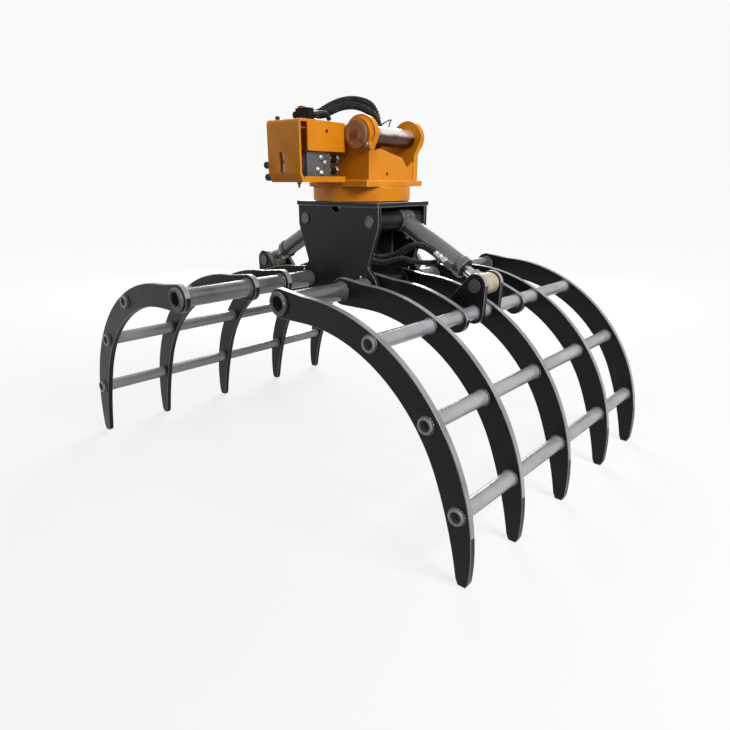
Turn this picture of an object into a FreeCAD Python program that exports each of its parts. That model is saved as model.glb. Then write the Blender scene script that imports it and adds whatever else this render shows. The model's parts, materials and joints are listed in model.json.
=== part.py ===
import FreeCAD
import Part
import math
import os
import Sketcher

Vector = FreeCAD.Vector
Rotation = FreeCAD.Rotation

os.makedirs("parts", exist_ok=True)
doc = FreeCAD.newDocument("GrassGrapple")

# Driving dimensions, in millimetres and degrees.
# Heights called Rise and Drop are counted from the jaw pivots, up and down.
dimensions = [
    ("PivotHeight", 823),
    ("PivotSpread", 182),
    ("JawShift", 108),
    ("TineOuterFront", 757),
    ("TineInnerFront", 420),
    ("TineMiddle", 26),
    ("TineInnerRear", 392),
    ("TineOuterRear", 742),
    ("TineThickness", 25),
    ("TineDepth", 100),
    ("BendRadius", 763),
    ("BendCentreOut", 133),
    ("BendTopRise", 42.4),
    ("TaperAngle", 22),
    ("TipWidth", 50),
    ("TipChamfer", 10),
    ("TipChamferHeight", 22),
    ("TineEyeRadius", 58),
    ("TubeRadius", 28.5),
    ("TubeBore", 20),
    ("TubeStub", 12),
    ("TubeStubRear", 27),
    ("UpperTubeInset", 36.6),
    ("UpperTubeAngle", 63.07),
    ("MiddleTubeInset", 51.4),
    ("MiddleTubeAngle", 36.64),
    ("LowerTubeInset", 44.5),
    ("LowerTubeAngle", 11.94),
    ("PivotTubeRadius", 38),
    ("HubRadius", 44),
    ("BushWall", 5),
    ("JawPinRadius", 25),
    ("JawPinReach", 60),
    ("CollarRadius", 47),
    ("CollarWidth", 12),
    ("ArmFront", 236),
    ("ArmRear", 230),
    ("ArmNoseAngle", 1.2),
    ("ArmNoseEase", 3),
    ("RunClearance", 0.05),
    ("SideClearance", 3),
    ("ClevisRise", 38),
    ("ClevisGap", 100),
    ("ClevisEarThickness", 22),
    ("ClevisEarRadius", 50),
    ("ClevisFoot", 125),
    ("ClevisPinRadius", 20),
    ("OpenPivotClearance", 13),
    ("RodEyeRadius", 44),
    ("RodEyeWidth", 92),
    ("RodRadius", 22.5),
    ("BarrelRadius", 42),
    ("BarrelWall", 7),
    ("BarrelLength", 395),
    ("BarrelFloorLength", 50),
    ("BarrelEyeRadius", 45),
    ("BarrelEyeWidth", 84),
    ("ElbowLength", 30),
    ("ElbowReach", 42),
    ("OilRadius", 6),
    ("HoseOffset", 60),
    ("GlandLength", 28),
    ("GlandRadius", 46),
    ("PistonLength", 32),
    ("RightCylinderY", 48),
    ("LeftCylinderY", -10),
    ("BasePinOut", 201),
    ("BasePinRise", 279),
    ("BasePinRadius", 25),
    ("SpacerRadius", 41),
    ("PlateHalfGap", 150),
    ("PlateThickness", 20),
    ("TopHalfWidth", 254),
    ("TopHalfDepth", 176),
    ("TopRise", 358),
    ("TopThickness", 20),
    ("BossFlankAngle", 50),
    ("ShoulderHalf", 250),
    ("ShoulderRise", 252),
    ("WaistHalf", 190),
    ("WaistRise", 84),
    ("PivotBossRadius", 62),
    ("NotchRadius", 27),
    ("WebHalf", 62),
    ("WebThickness", 16),
    ("SwivelRadius", 45),
    ("BoltCircleRadius", 140),
    ("BoltHeadRadius", 14),
    ("BoltHeadHeight", 12),
    ("HeadTurn", 6.2),
    ("HousingRadius", 222),
    ("HousingWall", 12),
    ("HousingGap", 3),
    ("OuterRingWidth", 38),
    ("BaseRise", 421),
    ("BaseThickness", 25),
    ("BaseHalfWidth", 190),
    ("BaseLedge", 26),
    ("BaseClip", 70),
    ("EarInner", 164),
    ("EarThickness", 30),
    ("EarBoss", 20),
    ("EarBossRadius", 64),
    ("EarTopRadius", 78),
    ("EarHalfWidth", 180),
    ("EarSideRise", 556),
    ("EarShoulderAngle", 35),
    ("EarDipRadius", 140),
    ("PinStation", 135),
    ("PinRise", 626),
    ("HeadPinRadius", 40),
    ("PinHeadRadius", 50),
    ("PinHeadThickness", 10),
    ("CrossPlateOut", 172),
    ("CrossPlateThickness", 16),
    ("CrossPlateRise", 527),
    ("GearTeeth", 48),
    ("PinionTeeth", 12),
    ("PinionGap", 6.65),
    ("GearRise", 376),
    ("GearHeight", 34),
    ("GearBore", 100),
    ("GearBacklash", 0.4),
    ("ShaftRadius", 16),
    ("MotorRadius", 42),
    ("MotorHeight", 80),
    ("StatorDepth", 40),
    ("BoxFar", 500),
    ("BoxNear", 92),
    ("BoxOut", 77),
    ("BoxRise", 670),
    ("BoxFloorRise", 440),
    ("BoxSheet", 10),
    ("BoxBendRadius", 16),
    ("BoxRim", 12),
    ("PanelLowRise", 557),
    ("PanelStart", 451),
    ("FoldRise", 474),
    ("FoldInset", 16),
    ("SlotWidth", 29),
    ("SlotHeight", 81),
    ("SlotRise", 511),
    ("BlockLength", 142),
    ("BlockHeight", 103),
    ("BlockDepth", 80),
    ("BlockInset", 60),
    ("BlockOut", 60),
    ("PortRadius", 9),
    ("PortDepth", 22),
    ("OutletReach", 60),
    ("KeeperSide", 26),
    ("HoseRadius", 12.5),
    ("FerruleRadius", 14),
    ("FerruleLength", 70),
    ("ManifoldDepth", 32),
    ("ManifoldHeight", 44),
]

sheet = doc.addObject("Spreadsheet::Sheet", "Dimensions")
for row, (alias, number) in enumerate(dimensions, start=1):
    sheet.set("A%d" % row, alias)
    sheet.set("B%d" % row, str(number))
    sheet.setAlias("B%d" % row, alias)
doc.recompute()

aliases = [alias for alias, number in dimensions]
parts = []


def bound(words):
    """Turn bare dimension names into references to the sheet."""
    text = ""
    word = ""
    for letter in words + " ":
        if letter.isalnum():
            word += letter
            continue
        text += "Dimensions." + word if word in aliases else word
        word = ""
        text += letter
    return text.strip()


def size(words):
    """The present value of an expression in dimension names."""
    return float(sheet.evalExpression(str(words)))


def keep(thing, label):
    """Name a finished sub-part and list it for export."""
    thing.Label = label
    parts.append(thing)
    return thing


def put(thing, x="0", y="0", z="0"):
    """Bind the place of an object to three expressions."""
    for name, words in (("x", x), ("y", y), ("z", z)):
        thing.setExpression(".Placement.Base." + name, bound(words))
    return thing


axes = {
    "X": Rotation(Vector(0, 1, 0), 90),
    "Y": Rotation(Vector(1, 0, 0), -90),
    "Z": Rotation(),
}


def rod(name, radius, length, axis="Z", x="0", y="0", z="0"):
    """A cylinder whose axis starts at a point and runs along X, Y or Z."""
    thing = doc.addObject("Part::Cylinder", name)
    thing.Placement = FreeCAD.Placement(Vector(), axes[axis])
    thing.setExpression("Radius", bound(radius))
    thing.setExpression("Height", bound(length))
    return put(thing, x, y, z)


def block(name, length, width, height, x="0", y="0", z="0"):
    """A box from its lowest corner."""
    thing = doc.addObject("Part::Box", name)
    thing.setExpression("Length", bound(length))
    thing.setExpression("Width", bound(width))
    thing.setExpression("Height", bound(height))
    return put(thing, x, y, z)


def cut(name, base, *tools):
    """Take one or more tools away from a base."""
    tool = tools[0]
    if len(tools) > 1:
        tool = doc.addObject("Part::Compound", name + "_Tools")
        tool.Links = list(tools)
    thing = doc.addObject("Part::Cut", name)
    thing.Base = base
    thing.Tool = tool
    return thing


def fuse(name, *shapes):
    thing = doc.addObject("Part::MultiFuse", name)
    thing.Shapes = list(shapes)
    thing.Refine = True
    return thing


def group(name, *shapes):
    """Separate solids that share one node."""
    thing = doc.addObject("Part::Compound", name)
    thing.Links = list(shapes)
    return thing


def ring(name, outer, inner, length, axis="Z", x="0", y="0", z="0"):
    """A tube: an outer cylinder less an inner one."""
    return cut(
        name,
        rod(name + "_Outside", outer, length, axis, x, y, z),
        rod(name + "_Bore", inner, length, axis, x, y, z),
    )


def outline(sketch, corners):
    """Draw a closed outline and tie every corner and radius to the sheet.

    Each corner is (x, y), or (x, y, radius, turn) when an arc leads from it to the next one.
    The arc bulges to the right of its way for turn 1 and to the left for turn -1.
    """
    spots = [Vector(size(corner[0]), size(corner[1]), 0) for corner in corners]
    count = len(corners)
    ends = []
    for i, corner in enumerate(corners):
        start = spots[i]
        finish = spots[(i + 1) % count]
        if len(corner) == 2:
            sketch.addGeometry(Part.LineSegment(start, finish), False)
            ends.append((1, 2))
            continue
        radius = size(corner[2])
        turn = corner[3]
        chord = finish - start
        side = Vector(chord.y, -chord.x, 0)
        side.normalize()
        back = math.sqrt(max(radius ** 2 - chord.Length ** 2 / 4, 0))
        if len(corner) == 5:
            back = -back
        centre = (start + finish) * 0.5 - side * (turn * back)
        first = math.atan2(start.y - centre.y, start.x - centre.x)
        last = math.atan2(finish.y - centre.y, finish.x - centre.x)
        circle = Part.Circle(centre, Vector(0, 0, 1), radius)
        if turn == 1:
            sketch.addGeometry(Part.ArcOfCircle(circle, first, last), False)
            ends.append((1, 2))
        else:
            sketch.addGeometry(Part.ArcOfCircle(circle, last, first), False)
            ends.append((2, 1))
    for i in range(count):
        after = (i + 1) % count
        sketch.addConstraint(Sketcher.Constraint("Coincident", i, ends[i][1], after, ends[after][0]))
    for i, corner in enumerate(corners):
        for kind, words in (("DistanceX", corner[0]), ("DistanceY", corner[1])):
            spot = Sketcher.Constraint(kind, -1, 1, i, ends[i][0], size(words))
            number = sketch.addConstraint(spot)
            sketch.setExpression("Constraints[%d]" % number, bound(words))
        if len(corner) == 2:
            continue
        # A half circle has its centre on the line between its ends, which sets its radius.
        chord = spots[(i + 1) % count] - spots[i]
        if chord.Length / 2 > 0.999 * size(corner[2]):
            across = abs(chord.x) < abs(chord.y)
            kind, words = ("DistanceX", corner[0]) if across else ("DistanceY", corner[1])
            number = sketch.addConstraint(Sketcher.Constraint(kind, -1, 1, i, 3, size(words)))
            sketch.setExpression("Constraints[%d]" % number, bound(words))
            continue
        number = sketch.addConstraint(Sketcher.Constraint("Radius", i, size(corner[2])))
        sketch.setExpression("Constraints[%d]" % number, bound(corner[2]))


def add_hole(sketch, x, y, radius):
    """A round hole in a sketch, tied to the sheet."""
    circle = Part.Circle(Vector(size(x), size(y), 0), Vector(0, 0, 1), size(radius))
    index = sketch.addGeometry(circle, False)
    for kind, words in (("DistanceX", x), ("DistanceY", y)):
        spot = Sketcher.Constraint(kind, -1, 1, index, 3, size(words))
        number = sketch.addConstraint(spot)
        sketch.setExpression("Constraints[%d]" % number, bound(words))
    number = sketch.addConstraint(Sketcher.Constraint("Radius", index, size(radius)))
    sketch.setExpression("Constraints[%d]" % number, bound(radius))


def plate(name, corners, thickness, holes=(), plane="XZ_Plane"):
    """A plate of even thickness, centred on its plane, with round holes."""
    body = doc.addObject("PartDesign::Body", name)
    sketch = body.newObject("Sketcher::SketchObject", name + "_Outline")
    face = [f for f in body.Origin.OriginFeatures if f.Role == plane][0]
    sketch.AttachmentSupport = [(face, "")]
    sketch.MapMode = "FlatFace"
    outline(sketch, corners)
    for x, y, radius in holes:
        add_hole(sketch, x, y, radius)
    pad = body.newObject("PartDesign::Pad", name + "_Pad")
    pad.Profile = sketch
    pad.Midplane = True
    pad.setExpression("Length", bound(thickness))
    return body


def tube_along(name, points, radius):
    """A hose of even radius: straight runs joined by arcs that touch both of them."""
    spots = [Vector(*point) for point in points]
    edges = []
    start = spots[0]
    tightest = None
    for before, corner, after in zip(spots, spots[1:], spots[2:]):
        back = before - corner
        onward = after - corner
        reach = 0.45 * min(back.Length, onward.Length)
        back.normalize()
        onward.normalize()
        half_turn = (math.pi - back.getAngle(onward)) / 2
        bend = reach / math.tan(half_turn)
        inward = back + onward
        inward.normalize()
        first = corner + back * reach
        middle = corner + inward * (bend / math.cos(half_turn) - bend)
        last = corner + onward * reach
        edges.append(Part.LineSegment(start, first).toShape())
        edges.append(Part.Arc(first, middle, last).toShape())
        start = last
        tightest = bend if tightest is None else min(bend, tightest)
    edges.append(Part.LineSegment(start, spots[-1]).toShape())
    path = Part.Wire(edges)
    section = Part.Wire(Part.makeCircle(radius, spots[0], spots[1] - spots[0]))
    solid = path.makePipeShell([section], True, False)
    expected = math.pi * radius ** 2 * path.Length
    if abs(solid.Volume / expected - 1) > 0.01:
        raise RuntimeError(name + " has the wrong volume")
    print("%s: length %.0f, tightest bend %.0f" % (name, path.Length, tightest))
    thing = doc.addObject("Part::Feature", name)
    thing.Shape = solid
    return thing


# Tines and arms are drawn about their pivot, out along X and up along Z.
bend_drop = "(BendRadius - BendTopRise)"
inner_radius = "(BendRadius - TineDepth)"
tip_reach = "sqrt(BendRadius^2 - (PivotHeight - TipChamferHeight - %s)^2)" % bend_drop
tip_out = "BendCentreOut + " + tip_reach
taper_out = "BendCentreOut + %s * cos(TaperAngle)" % inner_radius
taper_up = "%s * sin(TaperAngle) - %s" % (inner_radius, bend_drop)
sweep_out = "(%s - TipWidth - %s * cos(TaperAngle))" % (tip_reach, inner_radius)
sweep_down = "(%s - PivotHeight + TipChamferHeight - %s * sin(TaperAngle))" % (bend_drop, inner_radius)
# The lower inside arc leaves the upper one without a kink and ends at the tip.
sweep_radius = "(%s^2 + %s^2) / (-2 * (%s * cos(TaperAngle) + %s * sin(TaperAngle)))" % (
    sweep_out, sweep_down, sweep_out, sweep_down,
)

tine_corners = [
    ("0", "-TineEyeRadius"),
    ("BendCentreOut", "BendTopRise - TineDepth", inner_radius, -1),
    (taper_out, taper_up, sweep_radius, -1),
    (tip_out + " - TipWidth", "TipChamferHeight - PivotHeight"),
    (tip_out + " - TipWidth + TipChamfer", "-PivotHeight"),
    (tip_out + " - TipChamfer", "-PivotHeight"),
    (tip_out, "TipChamferHeight - PivotHeight", "BendRadius", 1),
    ("BendCentreOut", "BendTopRise"),
    ("0", "TineEyeRadius", "TineEyeRadius", 1),
]


def on_bend(radius, angle):
    """Out and drop from the pivot of a point at a radius and an angle about the bend's centre."""
    return ("(BendCentreOut + %s * cos(%s))" % (radius, angle),
            "(%s - %s * sin(%s))" % (bend_drop, radius, angle))


arm_end = "(UpperTubeAngle - ArmNoseAngle)"
arm_low_out, arm_low_drop = on_bend(inner_radius, arm_end)
arm_top_out, arm_top_drop = on_bend("BendRadius", arm_end)
arm_corners = [
    ("0", "-TineEyeRadius"),
    ("BendCentreOut", "BendTopRise - TineDepth", inner_radius, -1),
    (arm_low_out, "-" + arm_low_drop, "(TineDepth / 2 + ArmNoseEase)", 1),
    (arm_top_out, "-" + arm_top_drop, "BendRadius", 1),
    ("BendCentreOut", "BendTopRise"),
    ("0", "TineEyeRadius", "TineEyeRadius", 1),
]
upper_out, upper_drop = on_bend("(BendRadius - UpperTubeInset)", "UpperTubeAngle")
middle_out, middle_drop = on_bend("(BendRadius - MiddleTubeInset)", "MiddleTubeAngle")
lower_out, lower_drop = on_bend("(BendRadius - LowerTubeInset)", "LowerTubeAngle")
tube_places = [
    ("upper", upper_out, upper_drop),
    ("middle", middle_out, middle_drop),
    ("lower", lower_out, lower_drop),
]
upper_hole = (upper_out, "-" + upper_drop, "TubeRadius")
tube_holes = [(out, "-" + drop, "TubeRadius") for name, out, drop in tube_places]
tine_places = [
    ("-TineOuterFront", "PivotTubeRadius"),
    ("-TineInnerFront", "PivotTubeRadius"),
    ("-TineMiddle", "HubRadius"),
    ("TineInnerRear", "PivotTubeRadius"),
    ("TineOuterRear", "PivotTubeRadius"),
]
ear_corners = [
    (upper_out + " + ClevisEarRadius - 4", "-" + upper_drop),
    (upper_out + " + ClevisEarRadius", "ClevisRise", "ClevisEarRadius", 1),
    (upper_out + " - ClevisEarRadius * cos(60)", "ClevisRise + ClevisEarRadius * sin(60)"),
    (upper_out + " - ClevisFoot", "-%s * 0.45" % upper_drop),
    (upper_out + " - ClevisFoot + 12", "-%s * 0.8" % upper_drop),
    (upper_out + " - ClevisEarRadius + 4", "-" + upper_drop, "ClevisEarRadius - 4", 1),
]


def jaw(side, word):
    """One jaw: side is 1 to the right and -1 to the left."""
    flip = "" if side == 1 else "-"
    shift = "JawShift" if side == 1 else "-JawShift"
    facing = Rotation(Vector(0, 0, 1), 0 if side == 1 else 180)
    middle = "%s1 * PivotSpread" % flip

    def hang(thing, y):
        thing.Placement = FreeCAD.Placement(Vector(), facing)
        return put(thing, middle, y, "PivotHeight")

    for number, (place, bore) in enumerate(tine_places, start=1):
        name = "tine_%s_%d" % (word, number)
        holes = [("0", "0", bore)] + tube_holes
        tine = plate(name + "_body", tine_corners, "TineThickness", holes)
        keep(hang(tine, shift + " + (" + place + ")"), name)

    front_arm_bore = "HubRadius" if side == 1 else "PivotTubeRadius"
    rear_arm_bore = "PivotTubeRadius" if side == 1 else "HubRadius"
    arms = []
    for tag, place, bore in (("front", "-ArmFront", front_arm_bore), ("rear", "ArmRear", rear_arm_bore)):
        arm = plate("arm_%s_%s" % (word, tag), arm_corners, "TineThickness", [("0", "0", bore), upper_hole])
        arms.append(hang(arm, shift + " + (" + place + ")"))
    keep(group("arms_%s_pair" % word, *arms), "arms_" + word)

    front = shift + " - TineOuterFront - TineThickness / 2 - TubeStub"
    length = "TineOuterFront + TineOuterRear + TineThickness + TubeStub + TubeStubRear"
    tubes = []
    for name, out, drop in tube_places:
        x = "%s(PivotSpread + %s)" % (flip, out)
        tubes.append(ring("tube_%s_%s" % (word, name), "TubeRadius", "TubeBore", length, "Y",
                          x, front, "PivotHeight - " + drop))
    keep(group("cross_tubes_%s_set" % word, *tubes), "cross_tubes_" + word)

    # The pivot tube is in two lengths, one each side of the frame, with a hub between its plates.
    wall = "PlateHalfGap + PlateThickness + SideClearance"
    bush = "JawPinRadius + BushWall"
    front_tube = ring("pivot_tube_%s_front" % word, "PivotTubeRadius", bush,
                      "-(" + wall + ") - (" + front + ")", "Y", middle, front, "PivotHeight")
    rear_tube = ring("pivot_tube_%s_rear" % word, "PivotTubeRadius", bush,
                     shift + " + TineOuterRear + TineThickness / 2 + TubeStubRear - (" + wall + ")",
                     "Y", middle, wall, "PivotHeight")
    collars = []
    collar_places = (
        shift + " - TineOuterFront - TineThickness / 2 - CollarWidth",
        shift + " - TineInnerFront + TineThickness / 2",
        shift + " + TineInnerRear - TineThickness / 2 - CollarWidth",
    )
    for number, y in enumerate(collar_places, start=1):
        collars.append(ring("collar_%s_%d" % (word, number), "CollarRadius", "PivotTubeRadius",
                            "CollarWidth", "Y", middle, y, "PivotHeight"))
    keep(fuse("pivot_tubes_%s_set" % word, front_tube, rear_tube, *collars), "pivot_tubes_" + word)

    hub_half = "(PlateHalfGap - SideClearance)"
    keep(ring("hub_%s_ring" % word, "HubRadius", bush, "2 * " + hub_half, "Y",
              middle, "-" + hub_half, "PivotHeight"), "hub_" + word)
    bush_length = "(JawPinReach - SideClearance + 6)"
    bushes = []
    for tag, y, span in (
        ("front", "-(" + wall + ") - " + bush_length, bush_length),
        ("middle", "-" + hub_half, "2 * " + hub_half),
        ("rear", wall, bush_length),
    ):
        bushes.append(ring("bush_%s_%s" % (word, tag), bush, "JawPinRadius + RunClearance", span, "Y",
                           middle, y, "PivotHeight"))
    keep(group("bushes_%s_set" % word, *bushes), "bushes_" + word)

    # Two ears stand on the upper cross tube and hold the cylinder's pin.
    cylinder_y = "RightCylinderY" if side == 1 else "LeftCylinderY"
    ears = []
    for tag, sign in (("front", "-"), ("rear", "+")):
        ear = plate("clevis_%s_%s" % (word, tag), ear_corners, "ClevisEarThickness",
                    [upper_hole, (upper_out, "ClevisRise", "ClevisPinRadius")])
        ears.append(hang(ear, "%s %s (ClevisGap + ClevisEarThickness) / 2" % (cylinder_y, sign)))
    keep(group("clevis_%s_pair" % word, *ears), "clevis_" + word)
    pin_x = "%s(PivotSpread + %s)" % (flip, upper_out)
    pin_half = "(ClevisGap / 2 + ClevisEarThickness + 4)"
    pin = rod("clevis_pin_%s_bar" % word, "ClevisPinRadius", "2 * " + pin_half, "Y", pin_x,
              cylinder_y + " - " + pin_half, "PivotHeight + ClevisRise")
    caps = [
        rod("clevis_cap_%s_%d" % (word, number), "ClevisPinRadius + 8", "6", "Y", pin_x, y,
            "PivotHeight + ClevisRise")
        for number, y in enumerate((
            cylinder_y + " - ClevisGap / 2 - ClevisEarThickness - 6",
            cylinder_y + " + ClevisGap / 2 + ClevisEarThickness",
        ), start=1)
    ]
    keep(fuse("clevis_pin_%s_all" % word, pin, *caps), "clevis_pin_" + word)


jaw(1, "right")
jaw(-1, "left")

pivot_height = size("PivotHeight")

# Cylinders are drawn along X from their base pin, then turned down to the clevis pin.
reach_out = "(PivotSpread + %s - BasePinOut)" % upper_out
reach_down = "(BasePinRise - ClevisRise)"
closed_length = "sqrt(%s^2 + %s^2)" % (reach_out, reach_down)
slope = math.degrees(math.atan2(size(reach_down), size(reach_out)))
chamber = "BarrelRadius - BarrelWall"


def cylinder(side, word):
    """Barrel and rod of one hydraulic cylinder, in the open pose."""
    flip = "" if side == 1 else "-"
    facing = Rotation(Vector(0, 0, 1), 0 if side == 1 else 180)
    down = facing.multiply(Rotation(Vector(0, 1, 0), slope))
    cylinder_y = "RightCylinderY" if side == 1 else "LeftCylinderY"

    def hang(thing):
        thing.Placement = FreeCAD.Placement(Vector(), down)
        return put(thing, flip + "1 * BasePinOut", cylinder_y, "PivotHeight + BasePinRise")

    tube_end = "(BarrelLength - GlandLength)"
    base_port = "BarrelFloorLength + 10"
    elbow_start = tube_end + " - 1 - ElbowLength"
    eye = rod("barrel_eye_" + word, "BarrelEyeRadius", "BarrelEyeWidth", "Y", "0", "-BarrelEyeWidth / 2", "0")
    shell = rod("barrel_shell_" + word, "BarrelRadius", tube_end + " - 34", "X", "34", "0", "0")
    port = rod("port_" + word, "15", "BarrelRadius + 12", "Z", base_port, "0", "-BarrelRadius - 12")
    elbow = block("elbow_" + word, "ElbowLength", "ElbowReach", "2 * HoseRadius + 2", elbow_start,
                  "-BarrelRadius + 8 - ElbowReach", "-HoseRadius - 1")
    whole = fuse("barrel_outer_" + word, eye, shell, port, elbow)
    bore = rod("barrel_bore_" + word, chamber, tube_end + " - BarrelFloorLength + 1", "X",
               "BarrelFloorLength", "0", "0")
    hole = rod("barrel_hole_" + word, "BasePinRadius + RunClearance", "BarrelEyeWidth + 2", "Y",
               "0", "-BarrelEyeWidth / 2 - 1", "0")
    oil = [
        rod("oil_base_" + word, "OilRadius", "BarrelRadius + 13", "Z", base_port, "0", "-BarrelRadius - 13"),
        rod("oil_across_" + word, "OilRadius", "HoseOffset", "Y", tube_end + " - 12", "-HoseOffset", "0"),
        rod("oil_along_" + word, "OilRadius", "ElbowLength - 12", "X", elbow_start + " - 1",
            "-HoseOffset", "0"),
    ]
    keep(hang(cut("barrel_body_" + word, whole, bore, hole, *oil)), "barrel_" + word)
    keep(hang(ring("gland_body_" + word, "GlandRadius", "RodRadius + RunClearance", "GlandLength", "X",
                   tube_end, "0", "0")), "gland_" + word)

    end = "BarrelFloorLength + 20"
    bar = rod("rod_bar_" + word, "RodRadius", closed_length + " - RodEyeRadius + 12 - (" + end + ")", "X",
              end, "0", "0")
    neck = rod("rod_neck_" + word, "RodRadius + 9", "30", "X", closed_length + " - RodEyeRadius - 18",
               "0", "0")
    ring_eye = rod("rod_eye_" + word, "RodEyeRadius", "RodEyeWidth", "Y", closed_length,
                   "-RodEyeWidth / 2", "0")
    opening = rod("rod_hole_" + word, "ClevisPinRadius + OpenPivotClearance", "RodEyeWidth + 2", "Y",
                  closed_length, "-RodEyeWidth / 2 - 1", "0")
    whole_rod = fuse("rod_whole_" + word, bar, neck, ring_eye)
    keep(hang(cut("rod_body_" + word, whole_rod, opening)), "rod_" + word)
    keep(hang(ring("piston_body_" + word, chamber + " - RunClearance", "RodRadius", "PistonLength", "X",
                   end, "0", "0")), "piston_" + word)


cylinder(1, "right")
cylinder(-1, "left")

# Frame: a top plate on two shaped plates, with two webs between them.
plate_top = "(TopRise - TopThickness)"
half_frame = "(PlateHalfGap + PlateThickness)"
flank_out = "(PivotSpread + PivotBossRadius * cos(BossFlankAngle))"
flank_up = "(PivotBossRadius * sin(BossFlankAngle))"
frame_corners = [
    ("-PivotSpread", "-PivotBossRadius"),
    ("PivotSpread", "-PivotBossRadius", "PivotBossRadius", 1),
    (flank_out, flank_up),
    ("WaistHalf", "WaistRise"),
    ("ShoulderHalf", "ShoulderRise"),
    ("ShoulderHalf", plate_top),
    ("NotchRadius", plate_top, "NotchRadius", -1),
    ("-NotchRadius", plate_top),
    ("-ShoulderHalf", plate_top),
    ("-ShoulderHalf", "ShoulderRise"),
    ("-WaistHalf", "WaistRise"),
    ("-" + flank_out, flank_up, "PivotBossRadius", 1),
]
frame_holes = [
    (sign + place, rise, radius)
    for place, rise, radius in (
        ("PivotSpread", "0", "JawPinRadius"), ("BasePinOut", "BasePinRise", "BasePinRadius"))
    for sign in ("", "-")
]
for word, sign in (("front", "-"), ("rear", "")):
    shaped = plate("frame_%s_body" % word, frame_corners, "PlateThickness", frame_holes)
    put(shaped, "0", sign + "(PlateHalfGap + PlateThickness / 2)", "PivotHeight")
    keep(shaped, "frame_%s_plate" % word)

top = block("top_slab", "2 * TopHalfWidth", "2 * TopHalfDepth", "TopThickness",
            "-TopHalfWidth", "-TopHalfDepth", "PivotHeight + " + plate_top)
swivel_hole = rod("top_hole", "SwivelRadius", "TopThickness + 2", "Z", "0", "0",
                  "PivotHeight + " + plate_top + " - 1")
keep(cut("frame_top_body", top, swivel_hole), "frame_top_plate")
bolts = [
    rod("slew_bolt_%d" % number, "BoltHeadRadius", "BoltHeadHeight", "Z",
        "BoltCircleRadius * cos(%d)" % (45 * number), "BoltCircleRadius * sin(%d)" % (45 * number),
        "PivotHeight + " + plate_top + " - BoltHeadHeight")
    for number in range(8)
]
keep(group("slew_bolt_heads", *bolts), "slew_bolts")
webs = [
    block("web_%s" % word, "WebThickness", "2 * PlateHalfGap", plate_top + " - WaistRise",
          x, "-PlateHalfGap", "PivotHeight + WaistRise")
    for word, x in (("right", "WebHalf - WebThickness"), ("left", "-WebHalf"))
]
tie = block("web_tie", "2 * (WebHalf - WebThickness)", "2 * PlateHalfGap", "WebThickness",
            "WebThickness - WebHalf", "-PlateHalfGap", "PivotHeight + WaistRise")
keep(fuse("frame_webs_body", *webs, tie), "frame_webs")

jaw_pins = [
    rod("jaw_pin_" + word, "JawPinRadius", "2 * (" + half_frame + " + JawPinReach)", "Y",
        sign + "PivotSpread", "-" + half_frame + " - JawPinReach", "PivotHeight")
    for word, sign in (("right", ""), ("left", "-"))
]
keep(group("jaw_pins_pair", *jaw_pins), "jaw_pins")
base_pins = [
    rod("base_pin_" + word, "BasePinRadius", "2 * " + half_frame + " + 12", "Y",
        sign + "BasePinOut", "-" + half_frame + " - 6", "PivotHeight + BasePinRise")
    for word, sign in (("right", ""), ("left", "-"))
]
keep(group("base_pins_pair", *base_pins), "cylinder_base_pins")
spacers = []
for word, sign, y in (("right", "", "RightCylinderY"), ("left", "-", "LeftCylinderY")):
    eye_half = "(BarrelEyeWidth / 2 + 1)"
    spans = (
        ("front", "-PlateHalfGap", y + " - " + eye_half + " + PlateHalfGap"),
        ("rear", y + " + " + eye_half, "PlateHalfGap - (" + y + ") - " + eye_half),
    )
    for tag, start, span in spans:
        spacers.append(ring("spacer_%s_%s" % (word, tag), "SpacerRadius", "BasePinRadius", span, "Y",
                            sign + "BasePinOut", start, "PivotHeight + BasePinRise"))
keep(group("pin_spacers_set", *spacers), "pin_spacers")


# Hose of the right cylinder: it leaves a fitting on the web and ends in a ferrule at the barrel's elbow.
hose_y = size("RightCylinderY - HoseOffset")
base_x = size("BasePinOut")
base_z = size("PivotHeight + BasePinRise")
way_x = math.cos(math.radians(slope))
way_z = -math.sin(math.radians(slope))
elbow_at = size("BarrelLength - GlandLength - 1 - ElbowLength") - 0.4


def beside_barrel(along):
    """A point in front of the right barrel's axis, at a distance from its base pin."""
    return (base_x + along * way_x, hose_y, base_z + along * way_z)


web_face = size("WebHalf")
hose_rise = pivot_height + 107
hose_start = web_face + 22
ferrule_start = elbow_at - size("FerruleLength")
hose_points = [
    (hose_start, hose_y, hose_rise),
    (web_face + 82, hose_y, hose_rise),
    (web_face + 164, hose_y, hose_rise + 22),
    (web_face + 232, hose_y, hose_rise + 62),
    (web_face + 290, hose_y, hose_rise + 76),
    beside_barrel(232),
    beside_barrel(ferrule_start),
]
ferrule = doc.addObject("Part::Feature", "cylinder_hose_ferrule")
ferrule.Shape = Part.makeCylinder(size("FerruleRadius"), size("FerruleLength"),
                                  Vector(*beside_barrel(ferrule_start)), Vector(way_x, 0, way_z))
web_fitting = rod("web_fitting", "FerruleRadius", "22", "X", "WebHalf", "RightCylinderY - HoseOffset",
                  "PivotHeight + 107")
keep(group("cylinder_hose_set", tube_along("cylinder_hose_tube", hose_points, size("HoseRadius")),
           ferrule, web_fitting), "cylinder_hose")

# The pair of gears fills the housing, less the gap between the pinion and the wall.
gear_room = "(HousingRadius - HousingWall - PinionGap - GearBacklash)"
gear_module = "(%s / (GearTeeth / 2 + PinionTeeth + 0.9))" % gear_room


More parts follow.
